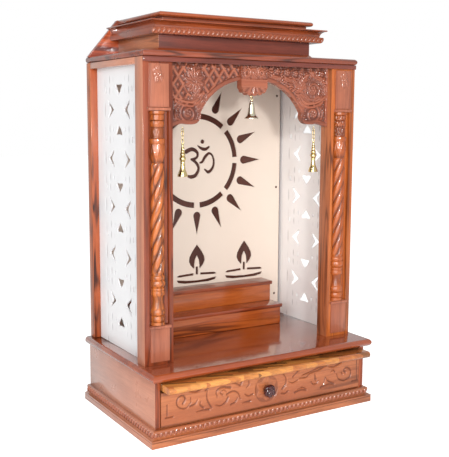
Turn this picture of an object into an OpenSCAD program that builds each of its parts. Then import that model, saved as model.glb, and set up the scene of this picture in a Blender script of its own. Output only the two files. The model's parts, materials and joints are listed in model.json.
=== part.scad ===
// Home shrine cabinet in lacquered teak with a drawer, a pull-out tray and carved arch
// Millimetres, +Z up, front towards -Y, origin under the middle of the bounding box

/* [Base cabinet] */
// Width over the outer faces of the base cabinet
base_w = 573; // [520:1:640]
// Depth of the base cabinet from its back to its front edge
base_d = 360; // [330:1:400]
// Height of the base cabinet under the platform
base_h = 141; // [130:1:180]
// Thickness of the side boards of the base cabinet
base_board_t = 12; // [9:0.5:18]
// Thickness of the back board of the base cabinet
base_back_t = 6; // [4:0.5:10]
// Thickness of the bottom board
bottom_t = 9; // [6:0.5:14]
// Height of the bottom board above the floor
bottom_lift = 8; // [4:0.5:12]
// Height of the plinth moulding
plinth_h = 36; // [30:1:42]
// How far the plinth moulding stands out at the floor
plinth_out = 15; // [12:0.5:20]
// Height of the round bead along the top of the plinth
bead_h = 9; // [7:0.5:11]

/* [Platform] */
// Thickness of the platform board
platform_t = 18; // [14:0.5:24]
// Overhang of the platform past each side of the base
platform_side_out = 12; // [6:0.5:20]
// Overhang of the platform past the front of the base
platform_front_out = 17; // [8:0.5:24]

/* [Drawer] */
// Height of the drawer opening above the plinth
drawer_opening_h = 80; // [60:1:82]
// Gap round the drawer front
drawer_gap = 1.5; // [1:0.1:3]
// Thickness of the drawer front
drawer_front_t = 18; // [12:0.5:22]
// Thickness of the drawer sides and back
drawer_side_t = 9; // [6:0.5:12]
// Height of the drawer sides
drawer_side_h = 58; // [40:1:66]
// Gap behind the shut drawer
drawer_back_gap = 26; // [15:1:60]
// Thickness of the drawer bottom
drawer_bottom_t = 4; // [3:0.5:6]
// Gap between the drawer side and the cabinet side
drawer_side_gap = 5; // [3:0.5:8]
// Height of the drawer runners
runner_h = 8; // [6:0.5:12]
// Diameter of the rose knob
knob_d = 34; // [24:1:40]
// How far the knob stands out
knob_out = 20; // [14:1:22]

/* [Tray] */
// Thickness of the pull-out tray
tray_t = 15; // [12:0.5:16]
// Depth of the pull-out tray
tray_d = 330; // [280:1:335]
// How far the tray is pulled out of the base
tray_out = 42; // [32:1:60]
// Gap between the tray and the platform
tray_gap = 5; // [4:0.5:6]
// Gap at each end of the tray
tray_side_gap = 1.5; // [1:0.1:3]
// Height of the cleats that carry the tray
cleat_h = 5; // [4:0.5:6]
// Width of the cleats and of the drawer runners
cleat_w = 16; // [14:1:24]

/* [Shrine] */
// Width over the outer faces of the posts
body_w = 566; // [510:1:600]
// Depth from the back plane to the front faces of the posts
body_d = 305; // [280:1:330]
// Height of the shrine between platform and top board
body_h = 662; // [600:1:760]
// Width of a front post
post_w = 70; // [62:1:76]
// Depth of a front post
post_d = 38; // [32:1:46]
// Width of a back post
back_post_w = 40; // [30:1:50]
// Depth of a back post
back_post_d = 24; // [18:1:30]
// Thickness of the brown back board
back_board_t = 5; // [4:0.5:8]
// Thickness of the cream panel with the cut-out sun
sun_panel_t = 3; // [2:0.5:5]
// Thickness of the white lattice sides
jali_t = 6; // [5:0.5:9]
// How far the lattice sits in from the outer faces of the posts
jali_inset = 17; // [8:0.5:22]
// Number of rows of cuts in the lattice, an odd number
jali_rows = 5; // [3:2:5]
// Distance between two rows of cuts
jali_pitch = 111; // [90:1:120]
// Half distance between the two side cuts of a row
jali_cut_x = 43; // [36:1:52]
// Height of the upper cut above the middle of its row
jali_cut_z = 45; // [36:1:50]
// Width of a side cut of the lattice
wing_w = 24; // [16:1:30]
// Height of a side cut of the lattice
wing_h = 46; // [30:1:60]
// Width of an upper or lower cut of the lattice
kite_w = 28; // [18:1:36]
// Height of an upper or lower cut of the lattice
kite_h = 24; // [14:1:30]
// Height of the rail over each lattice
side_rail_h = 14; // [10:1:24]
// Running gap between seated boards
seat_gap = 0.3; // [0.2:0.1:0.5]

/* [Turned columns] */
// Width of the strip outside the column
outer_strip_w = 12; // [8:0.5:14]
// Width of the strip inside the column
inner_strip_w = 9; // [6:0.5:12]
// Depth of the recess that holds the column
recess_d = 10; // [8:0.5:14]
// Height of the lower block of the post
lower_block_h = 89; // [70:1:110]
// Height of the upper block of the post
upper_block_h = 112; // [90:1:130]
// How far the raised faces of the blocks stand proud
block_proud = 4; // [2:0.5:6]
// Radius of the twisted shaft
shaft_r = 16; // [12:0.5:17]
// Length of the twisted shaft
shaft_len = 253; // [200:1:300]
// Height of the foot of the column under the twisted shaft
column_foot_h = 99; // [80:1:110]
// Number of strands in the twist
strand_count = 4; // [3:1:6]
// Rise of the twist for one full turn
twist_lead = 150; // [110:5:220]

/* [Arch] */
// Thickness of the carved arch board
arch_t = 14; // [10:0.5:18]
// How far the arch board sits behind the fronts of the posts
arch_inset = 14; // [10:0.5:20]
// Height of the arch board at its ends
arch_h = 146; // [120:1:170]
// Radius of each side of the arch
arch_r = 135; // [115:1:145]
// Half distance between the centres of the two arch curves
arch_offset = 16; // [8:1:30]
// Height of the crown of the arch below the top board
arch_drop = 42; // [34:1:60]
// Radius of the lobe at each end of the arch
lobe_r = 25; // [20:1:30]
// Width of the keystone pendant
pendant_w = 70; // [50:1:84]
// Height of the keystone pendant
pendant_h = 77; // [65:1:100]
// How far the pendant stands in front of the arch board
pendant_proud = 6; // [4:0.5:9]

/* [Sun panel] */
// Height of the centre of the sun above the platform
sun_lift = 426; // [400:1:450]
// Outer radius of the broken ring
ring_r = 119; // [100:1:125]
// Width of the ring
ring_w = 11; // [8:0.5:14]
// Gap between two arcs of the ring
ring_gap = 20; // [12:1:26]
// Number of arcs in the ring
arc_count = 8; // [6:1:12]
// Distance from the centre to the round end of a ray
ray_start = 132; // [128:1:140]
// Length of a ray
ray_len = 58; // [40:1:66]
// Width of a ray at its round end
ray_w = 18; // [12:1:22]
// Distance between two lamps
lamp_pitch = 145; // [130:1:150]
// Height of the foot of the lamps above the platform
lamp_lift = 111; // [108:1:125]
// Width of a lamp's saucer
saucer_w = 116; // [90:1:124]
// Width of a flame
flame_w = 44; // [30:1:52]
// Height of a flame
flame_h = 58; // [40:1:66]

/* [Steps] */
// Width of the steps over their end boards
step_w = 392; // [340:1:420]
// Depth of the lower step from the sun panel
lower_step_d = 99; // [85:1:115]
// Depth of the upper step from the sun panel
upper_step_d = 51; // [42:1:60]
// Height of each step
step_h = 52.5; // [44:0.5:54]
// Thickness of the step boards
step_board_t = 9; // [7:0.5:12]
// Overhang of the step treads
step_nose = 4; // [3:0.5:6]

/* [Top and crown] */
// Thickness of the top board
top_t = 14; // [12:0.5:20]
// Overhang of the top board past each side
top_side_out = 2; // [1:0.5:8]
// Overhang of the top board past the front
top_front_out = 7; // [4:0.5:12]
// Height of the strip moulding under the front of the top board
strip_h = 10; // [8:0.5:14]
// Thickness of the strip moulding
strip_t = 5; // [3:0.5:6]
// Width of the crown frieze
frieze_w = 410; // [340:1:440]
// Depth of the crown frieze from the back plane
frieze_d = 225; // [200:1:250]
// Height of the crown frieze
frieze_h = 70; // [60:1:84]
// Thickness of the frieze boards
frieze_t = 12; // [8:0.5:16]
// Height of the cornice moulding round the frieze
cornice_h = 30; // [26:1:36]
// How far the cornice moulding stands out
cornice_out = 31; // [24:1:36]
// Width of the crown slab
slab_w = 415; // [345:1:445]
// Depth of the crown slab from the back plane
slab_d = 236; // [205:1:258]
// Thickness of the crown slab
slab_t = 10; // [8:0.5:14]
// Height of the gap between cornice and slab
crown_neck_h = 9; // [6:0.5:14]
// Thickness of the sloped back board of the crown
gable_t = 12; // [8:0.5:16]
// Height and width of the fillet at the foot of the frieze
foot_fillet = 12; // [8:0.5:14]

/* [Bells] */
// Radius of the rim of a side bell
side_bell_r = 11.5; // [10:0.5:13]
// Height of a side bell without its stem
side_bell_h = 34; // [28:1:40]
// Length of the stem over a side bell
stem_len = 38; // [30:1:44]
// Number of links in a side chain
link_count = 3; // [2:1:4]
// Length of a chain link
link_len = 12; // [10:0.5:14]
// Width of a chain link
link_w = 7; // [6:0.5:8]
// Thickness of the chain wire
wire_d = 1.4; // [1.2:0.1:1.6]
// Distance of a side bell from the middle
side_bell_x = 178; // [165:1:185]
// Radius of the rim of the middle bell
mid_bell_r = 16; // [14:0.5:20]
// Height of the middle bell without its loop
mid_bell_h = 34; // [32:1:42]
// Thickness of the wall of a bell at its rim
bell_wall = 1.6; // [1.2:0.1:2.2]

/* [Hidden] */
$fn = 48;
eps = 0.01;
wood = [0.62, 0.27, 0.15];
light_wood = [0.82, 0.60, 0.35];
dark_wood = [0.42, 0.16, 0.10];
white_board = [0.94, 0.94, 0.93];
cream_board = [0.93, 0.87, 0.78];
brass = [0.83, 0.66, 0.28];
rose = [0.42, 0.04, 0.05];

opening_half = base_w / 2 - base_board_t;
tray_nose_y = base_d + tray_out;
back_y = max(tray_nose_y, base_d + knob_out, base_d + platform_front_out, base_d + plinth_out) / 2;
platform_top = base_h + platform_t;
body_top = platform_top + body_h;
top_z = body_top + top_t;
panel_front = back_post_d + back_board_t + sun_panel_t;
jali_out_x = body_w / 2 - jali_inset;
jali_in_x = jali_out_x - jali_t;
post_in_x = body_w / 2 - post_w;
post_back = body_d - post_d;

// Plane at a distance in front of the back of the shrine
function front(d) = back_y - d;

// Box between two x values, from depth d0 to depth d1 and from height z0 to height z1
module board(x0, x1, d0, d1, z0, z1) {
    translate([x0, front(d1), z0]) cube([x1 - x0, d1 - d0, z1 - z0]);
}

// Extrudes a drawing of (outwards, up) along the front of a block, cut to a mitre at both ends
module front_run(half_w, face_d, out, h) {
    intersection() {
        translate([-half_w - out, front(face_d), 0])
            rotate([90, 0, 90]) linear_extrude(2 * (half_w + out)) mirror([1, 0]) children();
        translate([0, 0, -1]) linear_extrude(h + 2)
            polygon([[-half_w, front(face_d)], [half_w, front(face_d)],
                [half_w + out, front(face_d + out)], [-half_w - out, front(face_d + out)]]);
    }
}

// Extrudes the same drawing along the right side of a block, with a mitre at the front
module right_run(half_w, face_d, out, h, back_d = 0) {
    intersection() {
        translate([half_w, front(back_d), 0])
            rotate([90, 0, 0]) linear_extrude(face_d + out - back_d) children();
        translate([0, 0, -1]) linear_extrude(h + 2)
            polygon([[half_w, front(back_d)], [half_w, front(face_d)],
                [half_w + out, front(face_d + out)], [half_w + out, front(back_d)]]);
    }
}

module left_run(half_w, face_d, out, h, back_d = 0) {
    mirror([1, 0, 0]) right_run(half_w, face_d, out, h, back_d) children();
}

// Board with half-round edges at the front and both sides, and a square back edge
module nosed_board(half_w, depth, z0, t) {
    r = t / 2;
    intersection() {
        translate([0, front(0), z0]) rotate([90, 0, 0]) linear_extrude(depth) {
            translate([-half_w + r, 0]) square([2 * (half_w - r), t]);
            for (s = [-1, 1]) translate([s * (half_w - r), r]) circle(r);
        }
        translate([-half_w, front(0), z0]) rotate([90, 0, 90]) linear_extrude(2 * half_w) {
            translate([-depth + r, 0]) square([depth - r, t]);
            translate([-depth + r, r]) circle(r);
        }
    }
}

// Base cabinet
module bottom_board() {
    color(wood) board(-opening_half, opening_half, base_back_t, base_d - base_board_t,
        bottom_lift, bottom_lift + bottom_t);
}
module base_side() {
    board(opening_half, base_w / 2, 0, base_d, 0, base_h);
}
module base_left_side() {
    color(wood) mirror([1, 0, 0]) base_side();
}
module base_right_side() {
    color(wood) base_side();
}
module base_back() {
    color(dark_wood) board(-opening_half, opening_half, 0, base_back_t, 0, base_h);
}
module base_front_rail() {
    color(wood) board(-opening_half, opening_half, base_d - base_board_t, base_d, 0, plinth_h);
}

// Cross-section of the plinth moulding: foot, cove and the round bead on top
module plinth_profile() {
    cove_r = plinth_out - 5;
    cove_z = plinth_h - bead_h - cove_r;
    difference() {
        square([plinth_out, plinth_h - bead_h]);
        translate([plinth_out, plinth_h - bead_h]) circle(cove_r);
        translate([plinth_out - 2, cove_z - 5]) square([3, 1]);
    }
    translate([0, plinth_h - bead_h - eps]) square([bead_h / 2, bead_h]);
    translate([bead_h / 2, plinth_h - bead_h / 2]) circle(bead_h / 2);
}
module plinth_front() {
    color(wood) front_run(base_w / 2, base_d, plinth_out, plinth_h) plinth_profile();
}
module plinth_left() {
    color(wood) left_run(base_w / 2, base_d, plinth_out, plinth_h) plinth_profile();
}
module plinth_right() {
    color(wood) right_run(base_w / 2, base_d, plinth_out, plinth_h) plinth_profile();
}

// Drawer and what it runs on
drawer_z = plinth_h + drawer_gap;
drawer_half = opening_half - drawer_gap;
drawer_out_x = opening_half - drawer_side_gap;
drawer_in_x = drawer_out_x - drawer_side_t;
drawer_face_back = base_d - drawer_front_t;
drawer_end = base_back_t + drawer_back_gap;
side_z = drawer_z + 2;
module drawer_runners() {
    color(light_wood) for (s = [-1, 1])
        board(s < 0 ? -opening_half : opening_half - cleat_w,
            s < 0 ? -opening_half + cleat_w : opening_half,
            base_back_t, drawer_face_back - 2, side_z - seat_gap - runner_h, side_z - seat_gap);
}
module drawer_front() {
    color(wood) board(-drawer_half, drawer_half, drawer_face_back, base_d,
        drawer_z, drawer_z + drawer_opening_h - 2 * drawer_gap);
}
module drawer_side() {
    board(drawer_in_x, drawer_out_x, drawer_end, drawer_face_back, side_z, side_z + drawer_side_h);
}
module drawer_left_side() {
    color(light_wood) mirror([1, 0, 0]) drawer_side();
}
module drawer_right_side() {
    color(light_wood) drawer_side();
}
module drawer_back() {
    color(light_wood) board(-drawer_in_x, drawer_in_x, drawer_end, drawer_end + drawer_side_t,
        side_z, side_z + drawer_side_h);
}
module drawer_bottom() {
    color(light_wood) board(-drawer_in_x, drawer_in_x, drawer_end + drawer_side_t,
        drawer_face_back, side_z, side_z + drawer_bottom_t);
}

// Rose knob: a stem, a flower of round petals, a ring of inner petals and a heart
module drawer_knob() {
    r = knob_d / 2;
    petals = 6;
    petal_r = r * 0.42;
    color(rose) translate([0, front(base_d), plinth_h + drawer_opening_h / 2]) rotate([90, 0, 0]) {
        cylinder(h = knob_out * 0.4, r = r * 0.35);
        translate([0, 0, knob_out * 0.3]) linear_extrude(knob_out * 0.4) {
            circle(r * 0.7);
            for (i = [0 : petals - 1]) rotate(i * 360 / petals) translate([r - petal_r, 0])
                circle(petal_r);
        }
        cylinder(h = knob_out * 0.88, r = r * 0.55);
        cylinder(h = knob_out, r = r * 0.26);
    }
}

// Pull-out tray and its cleats
tray_top = base_h - tray_gap;
tray_half = opening_half - tray_side_gap;
module tray_cleats() {
    z1 = tray_top - tray_t - seat_gap;
    color(light_wood) for (s = [-1, 1])
        board(s < 0 ? -opening_half : opening_half - cleat_w,
            s < 0 ? -opening_half + cleat_w : opening_half,
            base_back_t, base_d - drawer_front_t - 2, z1 - cleat_h, z1);
}
module sliding_tray() {
    r = tray_t / 2;
    color(light_wood) translate([-tray_half, 0, tray_top - tray_t])
        rotate([90, 0, 90]) linear_extrude(2 * tray_half) {
            translate([front(tray_nose_y - r), 0]) square([tray_d - r, tray_t]);
            translate([front(tray_nose_y - r), r]) circle(r);
        }
}
module platform() {
    color(wood) nosed_board(base_w / 2 + platform_side_out, base_d + platform_front_out,
        base_h, platform_t);
}

// Front post: a board with a recess for the column and raised blocks at both ends
recess_x = post_in_x + inner_strip_w;
recess_w = post_w - inner_strip_w - outer_strip_w;
recess_z0 = platform_top + lower_block_h;
recess_z1 = body_top - upper_block_h;
module raised_block(z0, z1) {
    board(recess_x + 2, recess_x + recess_w - 2, body_d - eps, body_d + block_proud, z0, z1);
}
module front_post() {
    difference() {
        board(post_in_x, body_w / 2, post_back, body_d, platform_top, body_top);
        board(recess_x, recess_x + recess_w, body_d - recess_d, body_d + 1, recess_z0, recess_z1);
    }
    raised_block(platform_top + 8, recess_z0 - 8);
    raised_block(recess_z1 + 8, body_top - strip_h - 4);
    // Ledges over and under the recess
    for (z = [recess_z0 - 7, recess_z1 + 1])
        board(recess_x - 1, recess_x + recess_w + 1, body_d - eps, body_d + block_proud + 3, z, z + 6);
}
module left_front_post() {
    color(wood) mirror([1, 0, 0]) front_post();
}
module right_front_post() {
    color(wood) front_post();
}
module back_post() {
    board(body_w / 2 - back_post_w, body_w / 2, 0, back_post_d, platform_top, body_top);
}
module left_back_post() {
    color(wood) mirror([1, 0, 0]) back_post();
}
module right_back_post() {
    color(wood) back_post();
}
module side_top_rails() {
    color(wood) for (s = [-1, 1]) {
        x = s < 0 ? -body_w / 2 : body_w / 2 - jali_inset + seat_gap;
        board(x, x + jali_inset - seat_gap, back_post_d, post_back, body_top - side_rail_h, body_top);
    }
}

// Half-round turned column with rings, a vase at each end and a twisted shaft between them
column_x = recess_x + recess_w / 2;
column_h = recess_z1 - recess_z0;
cap_z = column_foot_h + shaft_len;
cap_h = column_h - cap_z;
// Side of the foot and of the cap: what each point adds to the shaft's radius, and its share of the height
foot_side = [[0, 0], [0, 0.05], [-2.5, 0.06], [-1, 0.08], [0, 0.125], [-1, 0.175], [-3, 0.19],
    [0, 0.21], [1, 0.26], [0, 0.31], [-1.5, 0.33], [-3.5, 0.45], [-4, 0.5], [-3, 0.56], [-2, 0.59],
    [-0.5, 0.6], [0, 0.64], [-0.5, 0.68], [-2, 0.69], [-0.5, 0.705], [-0.5, 0.74], [-2.5, 0.755],
    [0.5, 0.79], [1.5, 0.83], [0.5, 0.88], [-1.5, 0.9], [0, 0.915], [0.5, 0.95], [0, 0.98], [-2, 1]];
cap_side = [[-3, 0], [-1, 0.05], [1, 0.14], [1.5, 0.2], [1, 0.28], [0, 0.365], [1.5, 0.38], [2, 0.42],
    [1.5, 0.465], [-2, 0.475], [-2, 0.5], [-1.5, 0.52], [-1.5, 0.66], [-2.5, 0.68], [-0.5, 0.7],
    [0.5, 0.75], [-0.5, 0.805], [-2.5, 0.815], [0, 0.83], [0, 0.92], [-1, 0.93], [1.5, 0.95], [1.5, 1]];
module turned(side, h) {
    rotate_extrude() polygon(concat([[0, 0]], [for (p = side) [shaft_r + p[0], p[1] * h]], [[0, h]]));
}
module twisted_shaft() {
    lobe = shaft_r * 0.5;
    turns = shaft_len / twist_lead;
    translate([0, 0, column_foot_h])
        linear_extrude(height = shaft_len, twist = -360 * turns, slices = 36)
            for (i = [0 : strand_count - 1]) rotate(i * 360 / strand_count)
                translate([shaft_r - lobe, 0]) circle(lobe, $fn = 20);
    translate([0, 0, column_foot_h]) cylinder(h = shaft_len, r = shaft_r * 0.72);
}
module column() {
    translate([column_x, front(body_d - recess_d), recess_z0]) intersection() {
        union() {
            turned(foot_side, column_foot_h);
            twisted_shaft();
            translate([0, 0, cap_z]) turned(cap_side, cap_h);
        }
        translate([-2 * shaft_r, -2 * shaft_r, 0]) cube([4 * shaft_r, 2 * shaft_r, column_h]);
    }
}
module left_column() {
    color(wood) mirror([1, 0, 0]) column();
}
module right_column() {
    color(wood) column();
}

// White lattice side: rows of four cuts that point inwards, and between them pairs that point outwards
jali_d0 = back_post_d + seat_gap;
jali_d1 = post_back - seat_gap;
jali_z0 = platform_top + seat_gap;
jali_z1 = body_top - seat_gap;
module kite_cut(w, h) {
    polygon([[0, -h / 2], [w * 0.3, 0], [w / 2, h * 0.4], [w * 0.35, h / 2], [0, h * 0.42],
        [-w * 0.35, h / 2], [-w / 2, h * 0.4], [-w * 0.3, 0]]);
}
module wing_cut(w, h) {
    polygon([[w / 2, 0], [w * 0.2, h * 0.14], [-w * 0.2, h * 0.34], [-w / 2, h / 2],
        [-w * 0.4, h * 0.28], [-w * 0.16, h * 0.12], [-w * 0.1, 0], [-w * 0.16, -h * 0.12],
        [-w * 0.4, -h * 0.28], [-w / 2, -h / 2], [-w * 0.2, -h * 0.34], [w * 0.2, -h * 0.14]]);
}
module jali_row(inward) {
    for (s = [-1, 1]) {
        translate([s * jali_cut_x, 0]) rotate((s > 0) == inward ? 180 : 0) wing_cut(wing_w, wing_h);
        if (inward) translate([0, s * jali_cut_z]) rotate(s > 0 ? 0 : 180) kite_cut(kite_w, kite_h);
        translate([s * (jali_cut_x + 28), jali_cut_z]) square([4, 13], center = true);
        translate([s * (jali_cut_x - 12), -jali_cut_z]) square([3, 9], center = true);
    }
}
module jali_cuts() {
    last = (jali_rows - 1) / 2;
    translate([(jali_d1 - jali_d0) / 2, (jali_z1 - jali_z0) / 2])
        for (k = [-last : last]) translate([0, k * jali_pitch]) jali_row(abs(k) % 2 == 0);
}
module jali() {
    translate([jali_in_x, 0, 0]) rotate([90, 0, 90]) linear_extrude(jali_t) difference() {
        translate([front(jali_d1), jali_z0]) square([jali_d1 - jali_d0, jali_z1 - jali_z0]);
        translate([front(jali_d1), jali_z0]) jali_cuts();
    }
}
module left_jali() {
    color(white_board) mirror([1, 0, 0]) jali();
}
module right_jali() {
    color(white_board) jali();
}

// Back of the shrine: brown board, and the cream panel whose cuts show the brown behind
panel_half = jali_in_x - seat_gap;
module back_board() {
    color(dark_wood) board(-panel_half, panel_half, back_post_d, back_post_d + back_board_t,
        platform_top, body_top);
}
module ray_cut() {
    r = ray_w / 2;
    n = 10;
    // Round end towards the centre and a long point outwards
    tangent = acos(r / (ray_len - r));
    polygon(concat([for (i = [0 : n]) let (a = tangent + (360 - 2 * tangent) * i / n)
        [ray_start + r + r * cos(a), r * sin(a)]], [[ray_start + ray_len, 0]]));
}
module sun_cut() {
    for (i = [0 : arc_count - 1]) rotate(i * 360 / arc_count) difference() {
        circle(ring_r, $fn = 96);
        circle(ring_r - ring_w, $fn = 96);
        half = 180 / arc_count;
        gap_a = asin(ring_gap / 2 / ring_r);
        rotate(2 * half - gap_a) translate([-2 * ring_r, 0]) square([4 * ring_r, 2 * ring_r]);
        rotate(gap_a) translate([-2 * ring_r, -2 * ring_r]) square([4 * ring_r, 2 * ring_r]);
    }
    for (i = [0 : 2 * arc_count - 1]) rotate(i * 180 / arc_count) ray_cut();
}
// Oil lamp: pointed flame with a clear heart, a wick, the two halves of the rim and the saucer's belly
flame_side = [[0.45, 0], [0.8, 0.14], [1, 0.3], [0.93, 0.48], [0.62, 0.69], [0.28, 0.87]];
heart_side = [[0.41, -0.1], [0.41, 0.12], [0.32, 0.36]];
module half_pair(side, tip, w, h) {
    n = len(side) - 1;
    polygon(concat([for (p = side) [p[0] * w / 2, p[1] * h]], [[0, tip * h]],
        [for (i = [n : -1 : 0]) [-side[i][0] * w / 2, side[i][1] * h]]));
}
module lamp_cut() {
    rim_z = 20;
    flame_z = 39;
    half = saucer_w / 2;
    translate([0, flame_z]) difference() {
        half_pair(flame_side, 1, flame_w, flame_h);
        half_pair(heart_side, 0.6, flame_w, flame_h);
    }
    translate([-2, rim_z + 2]) square([4, 18]);
    for (s = [-1, 1]) scale([s, 1]) {
        polygon([[11, rim_z], [11, rim_z + 4], [half * 0.9, rim_z + 2], [half, rim_z - 1],
            [half * 0.9, rim_z - 2]]);
    }
    polygon([[-half, 9.5], [-half / 2, 5.5], [0, 4.2], [half / 2, 5.5], [half, 9.5], [half * 0.94, 4],
        [half * 0.6, 0.3], [0, 0], [-half * 0.6, 0.3], [-half * 0.94, 4]]);
}
module sun_panel() {
    color(cream_board) translate([0, front(panel_front - sun_panel_t), 0])
        rotate([90, 0, 0]) linear_extrude(sun_panel_t) difference() {
            translate([-panel_half, platform_top]) square([2 * panel_half, body_h]);
            translate([0, platform_top + sun_lift]) sun_cut();
            for (s = [-1 : 1]) translate([s * lamp_pitch, platform_top + lamp_lift]) lamp_cut();
        }
}

// Carved arch board between the posts, and the keystone pendant in front of it
arch_front = body_d - arch_inset;
arch_half = post_in_x - seat_gap;
arch_centre_z = body_top - arch_drop - arch_r;
module arch_outline() {
    difference() {
        translate([-arch_half, body_top - arch_h]) square([2 * arch_half, arch_h]);
        for (s = [0, 1]) mirror([s, 0]) intersection() {
            translate([arch_offset, arch_centre_z]) circle(arch_r, $fn = 96);
            translate([-1, arch_centre_z - arch_r]) square([2 * arch_r, 2 * arch_r]);
        }
    }
    for (s = [-1, 1]) translate([s * (arch_offset + arch_r + lobe_r - 16), body_top - arch_h + lobe_r])
        circle(lobe_r);
}
module arch_board() {
    color(wood) translate([0, front(arch_front - arch_t), 0]) rotate([90, 0, 0])
        linear_extrude(arch_t) arch_outline();
}
module pendant_outline() {
    w = pendant_w / 2;
    z0 = body_top - pendant_h;
    fan = 6;
    translate([-w, z0 + 20]) square([2 * w, pendant_h - 20 - strip_h]);
    // Scalloped fan along the foot
    for (i = [0 : fan]) let (a = 180 + 180 * i / fan)
        translate([(w - 7) * cos(a), z0 + 20 + 13 * sin(a)]) circle(7, $fn = 24);
    translate([-w + 7, z0 + 7]) square([2 * w - 14, 14]);
}
module arch_pendant() {
    color(wood) translate([0, front(arch_front), 0]) rotate([90, 0, 0])
        linear_extrude(pendant_proud) pendant_outline();
    color(wood) translate([0, front(arch_front - arch_t), 0]) rotate([90, 0, 0])
        linear_extrude(arch_t + eps) intersection() {
            pendant_outline();
            translate([-pendant_w, 0]) square([2 * pendant_w, body_top - arch_drop - 3]);
        }
}

// Two steps for the idols
step_half = step_w / 2;
module step_riser(d, z) {
    board(-step_half, step_half, panel_front + d - step_board_t, panel_front + d,
        z, z + step_h - step_board_t);
}
module step_tread(d, z) {
    board(-step_half - step_nose, step_half + step_nose, panel_front + seat_gap,
        panel_front + d + step_nose, z + step_h - step_board_t, z + step_h);
}
module lower_step_riser() {
    color(wood) step_riser(lower_step_d, platform_top);
}
module lower_step_tread() {
    color(wood) step_tread(lower_step_d, platform_top);
}
module upper_step_riser() {
    color(wood) step_riser(upper_step_d, platform_top + step_h);
}
module upper_step_tread() {
    color(wood) step_tread(upper_step_d, platform_top + step_h);
}
module step_ends() {
    color(wood) for (s = [0, 1]) mirror([s, 0, 0]) {
        board(step_half - step_board_t, step_half, panel_front + seat_gap,
            panel_front + lower_step_d - step_board_t, platform_top,
            platform_top + step_h - step_board_t);
        board(step_half - step_board_t, step_half, panel_front + seat_gap,
            panel_front + upper_step_d - step_board_t, platform_top + step_h,
            platform_top + 2 * step_h - step_board_t);
    }
}

// Top board and the strip under its front edge
module top_board() {
    color(wood) nosed_board(body_w / 2 + top_side_out, body_d + top_front_out, body_top, top_t);
}
module top_strip() {
    color(wood) board(-body_w / 2, body_w / 2, body_d, body_d + strip_t, body_top - strip_h, body_top);
}

// Crown: frieze, fillet at its foot, cornice moulding, neck, slab and the sloped back board
frieze_half = frieze_w / 2;
frieze_top = top_z + frieze_h;
crown_top = frieze_top + crown_neck_h + slab_t;
module frieze() {
    color(wood) translate([0, 0, top_z]) linear_extrude(frieze_h) difference() {
        translate([-frieze_half, front(frieze_d)]) square([frieze_w, frieze_d - gable_t]);
        translate([-frieze_half + frieze_t, front(frieze_d - frieze_t)])
            square([frieze_w - 2 * frieze_t, frieze_d]);
    }
}
module foot_profile() {
    polygon([[0, 0], [foot_fillet, 0], [0, foot_fillet]]);
}
module frieze_foot_front() {
    color(wood) translate([0, 0, top_z])
        front_run(frieze_half, frieze_d, foot_fillet, foot_fillet) foot_profile();
}
module frieze_foot_left() {
    color(wood) translate([0, 0, top_z])
        left_run(frieze_half, frieze_d, foot_fillet, foot_fillet, gable_t) foot_profile();
}
module frieze_foot_right() {
    color(wood) translate([0, 0, top_z])
        right_run(frieze_half, frieze_d, foot_fillet, foot_fillet, gable_t) foot_profile();
}
// Cross-section of the cornice: bead band, cove and the thin cap
module cornice_profile() {
    band_h = cornice_h * 0.45;
    band_out = cornice_out * 0.68;
    cap_t = 3;
    square([band_out, band_h]);
    difference() {
        translate([0, band_h - eps]) square([cornice_out, cornice_h - band_h]);
        translate([cornice_out, band_h]) circle(cornice_h - band_h - cap_t);
    }
}
cornice_z = frieze_top - cornice_h;
module cornice_front() {
    color(wood) translate([0, 0, cornice_z])
        front_run(frieze_half, frieze_d, cornice_out, cornice_h) cornice_profile();
}
module cornice_left() {
    color(wood) translate([0, 0, cornice_z])
        left_run(frieze_half, frieze_d, cornice_out, cornice_h, gable_t) cornice_profile();
}
module cornice_right() {
    color(wood) translate([0, 0, cornice_z])
        right_run(frieze_half, frieze_d, cornice_out, cornice_h, gable_t) cornice_profile();
}
module crown_neck() {
    color(dark_wood) board(-slab_w / 2 + 12, slab_w / 2 - 12, gable_t, slab_d - 12,
        frieze_top, frieze_top + crown_neck_h);
}
module crown_slab() {
    color(wood) difference() {
        nosed_board(slab_w / 2, slab_d, frieze_top + crown_neck_h, slab_t);
        board(-slab_w, slab_w, -1, gable_t, frieze_top, crown_top + 1);
    }
}
module gable_board() {
    color(wood) translate([0, front(0), 0]) rotate([90, 0, 0]) linear_extrude(gable_t)
        polygon([[-body_w / 2, top_z], [body_w / 2, top_z], [slab_w / 2, crown_top],
            [-slab_w / 2, crown_top]]);
}

// Bells
bell_d = arch_front - arch_t / 2;
eye_r = 4;
eye_wire = 1.6;
side_eye_z = body_top - arch_h;
mid_eye_z = body_top - pendant_h;
eye_drop = 7;
// Height of the pivot, where the wire of a link lies in its eye
function pivot_z(eye_z) = eye_z - eye_drop - eye_r + eye_wire / 2 + wire_d / 2 + seat_gap;
swing_side_z = pivot_z(side_eye_z);
// Screw eye: a ring across the front-back plane under a short shank
module bell_eye(z) {
    translate([0, 0, z - eye_drop]) {
        rotate([0, 90, 0]) rotate_extrude() translate([eye_r, 0]) circle(eye_wire / 2, $fn = 24);
        translate([0, 0, eye_r]) cylinder(h = eye_drop - eye_r, r = eye_wire / 2);
    }
}
module bell_eyes() {
    color(brass) {
        for (s = [-1, 1]) translate([s * side_bell_x, front(bell_d), 0]) bell_eye(side_eye_z);
        translate([0, front(bell_d), 0]) bell_eye(mid_eye_z);
    }
}
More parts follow.
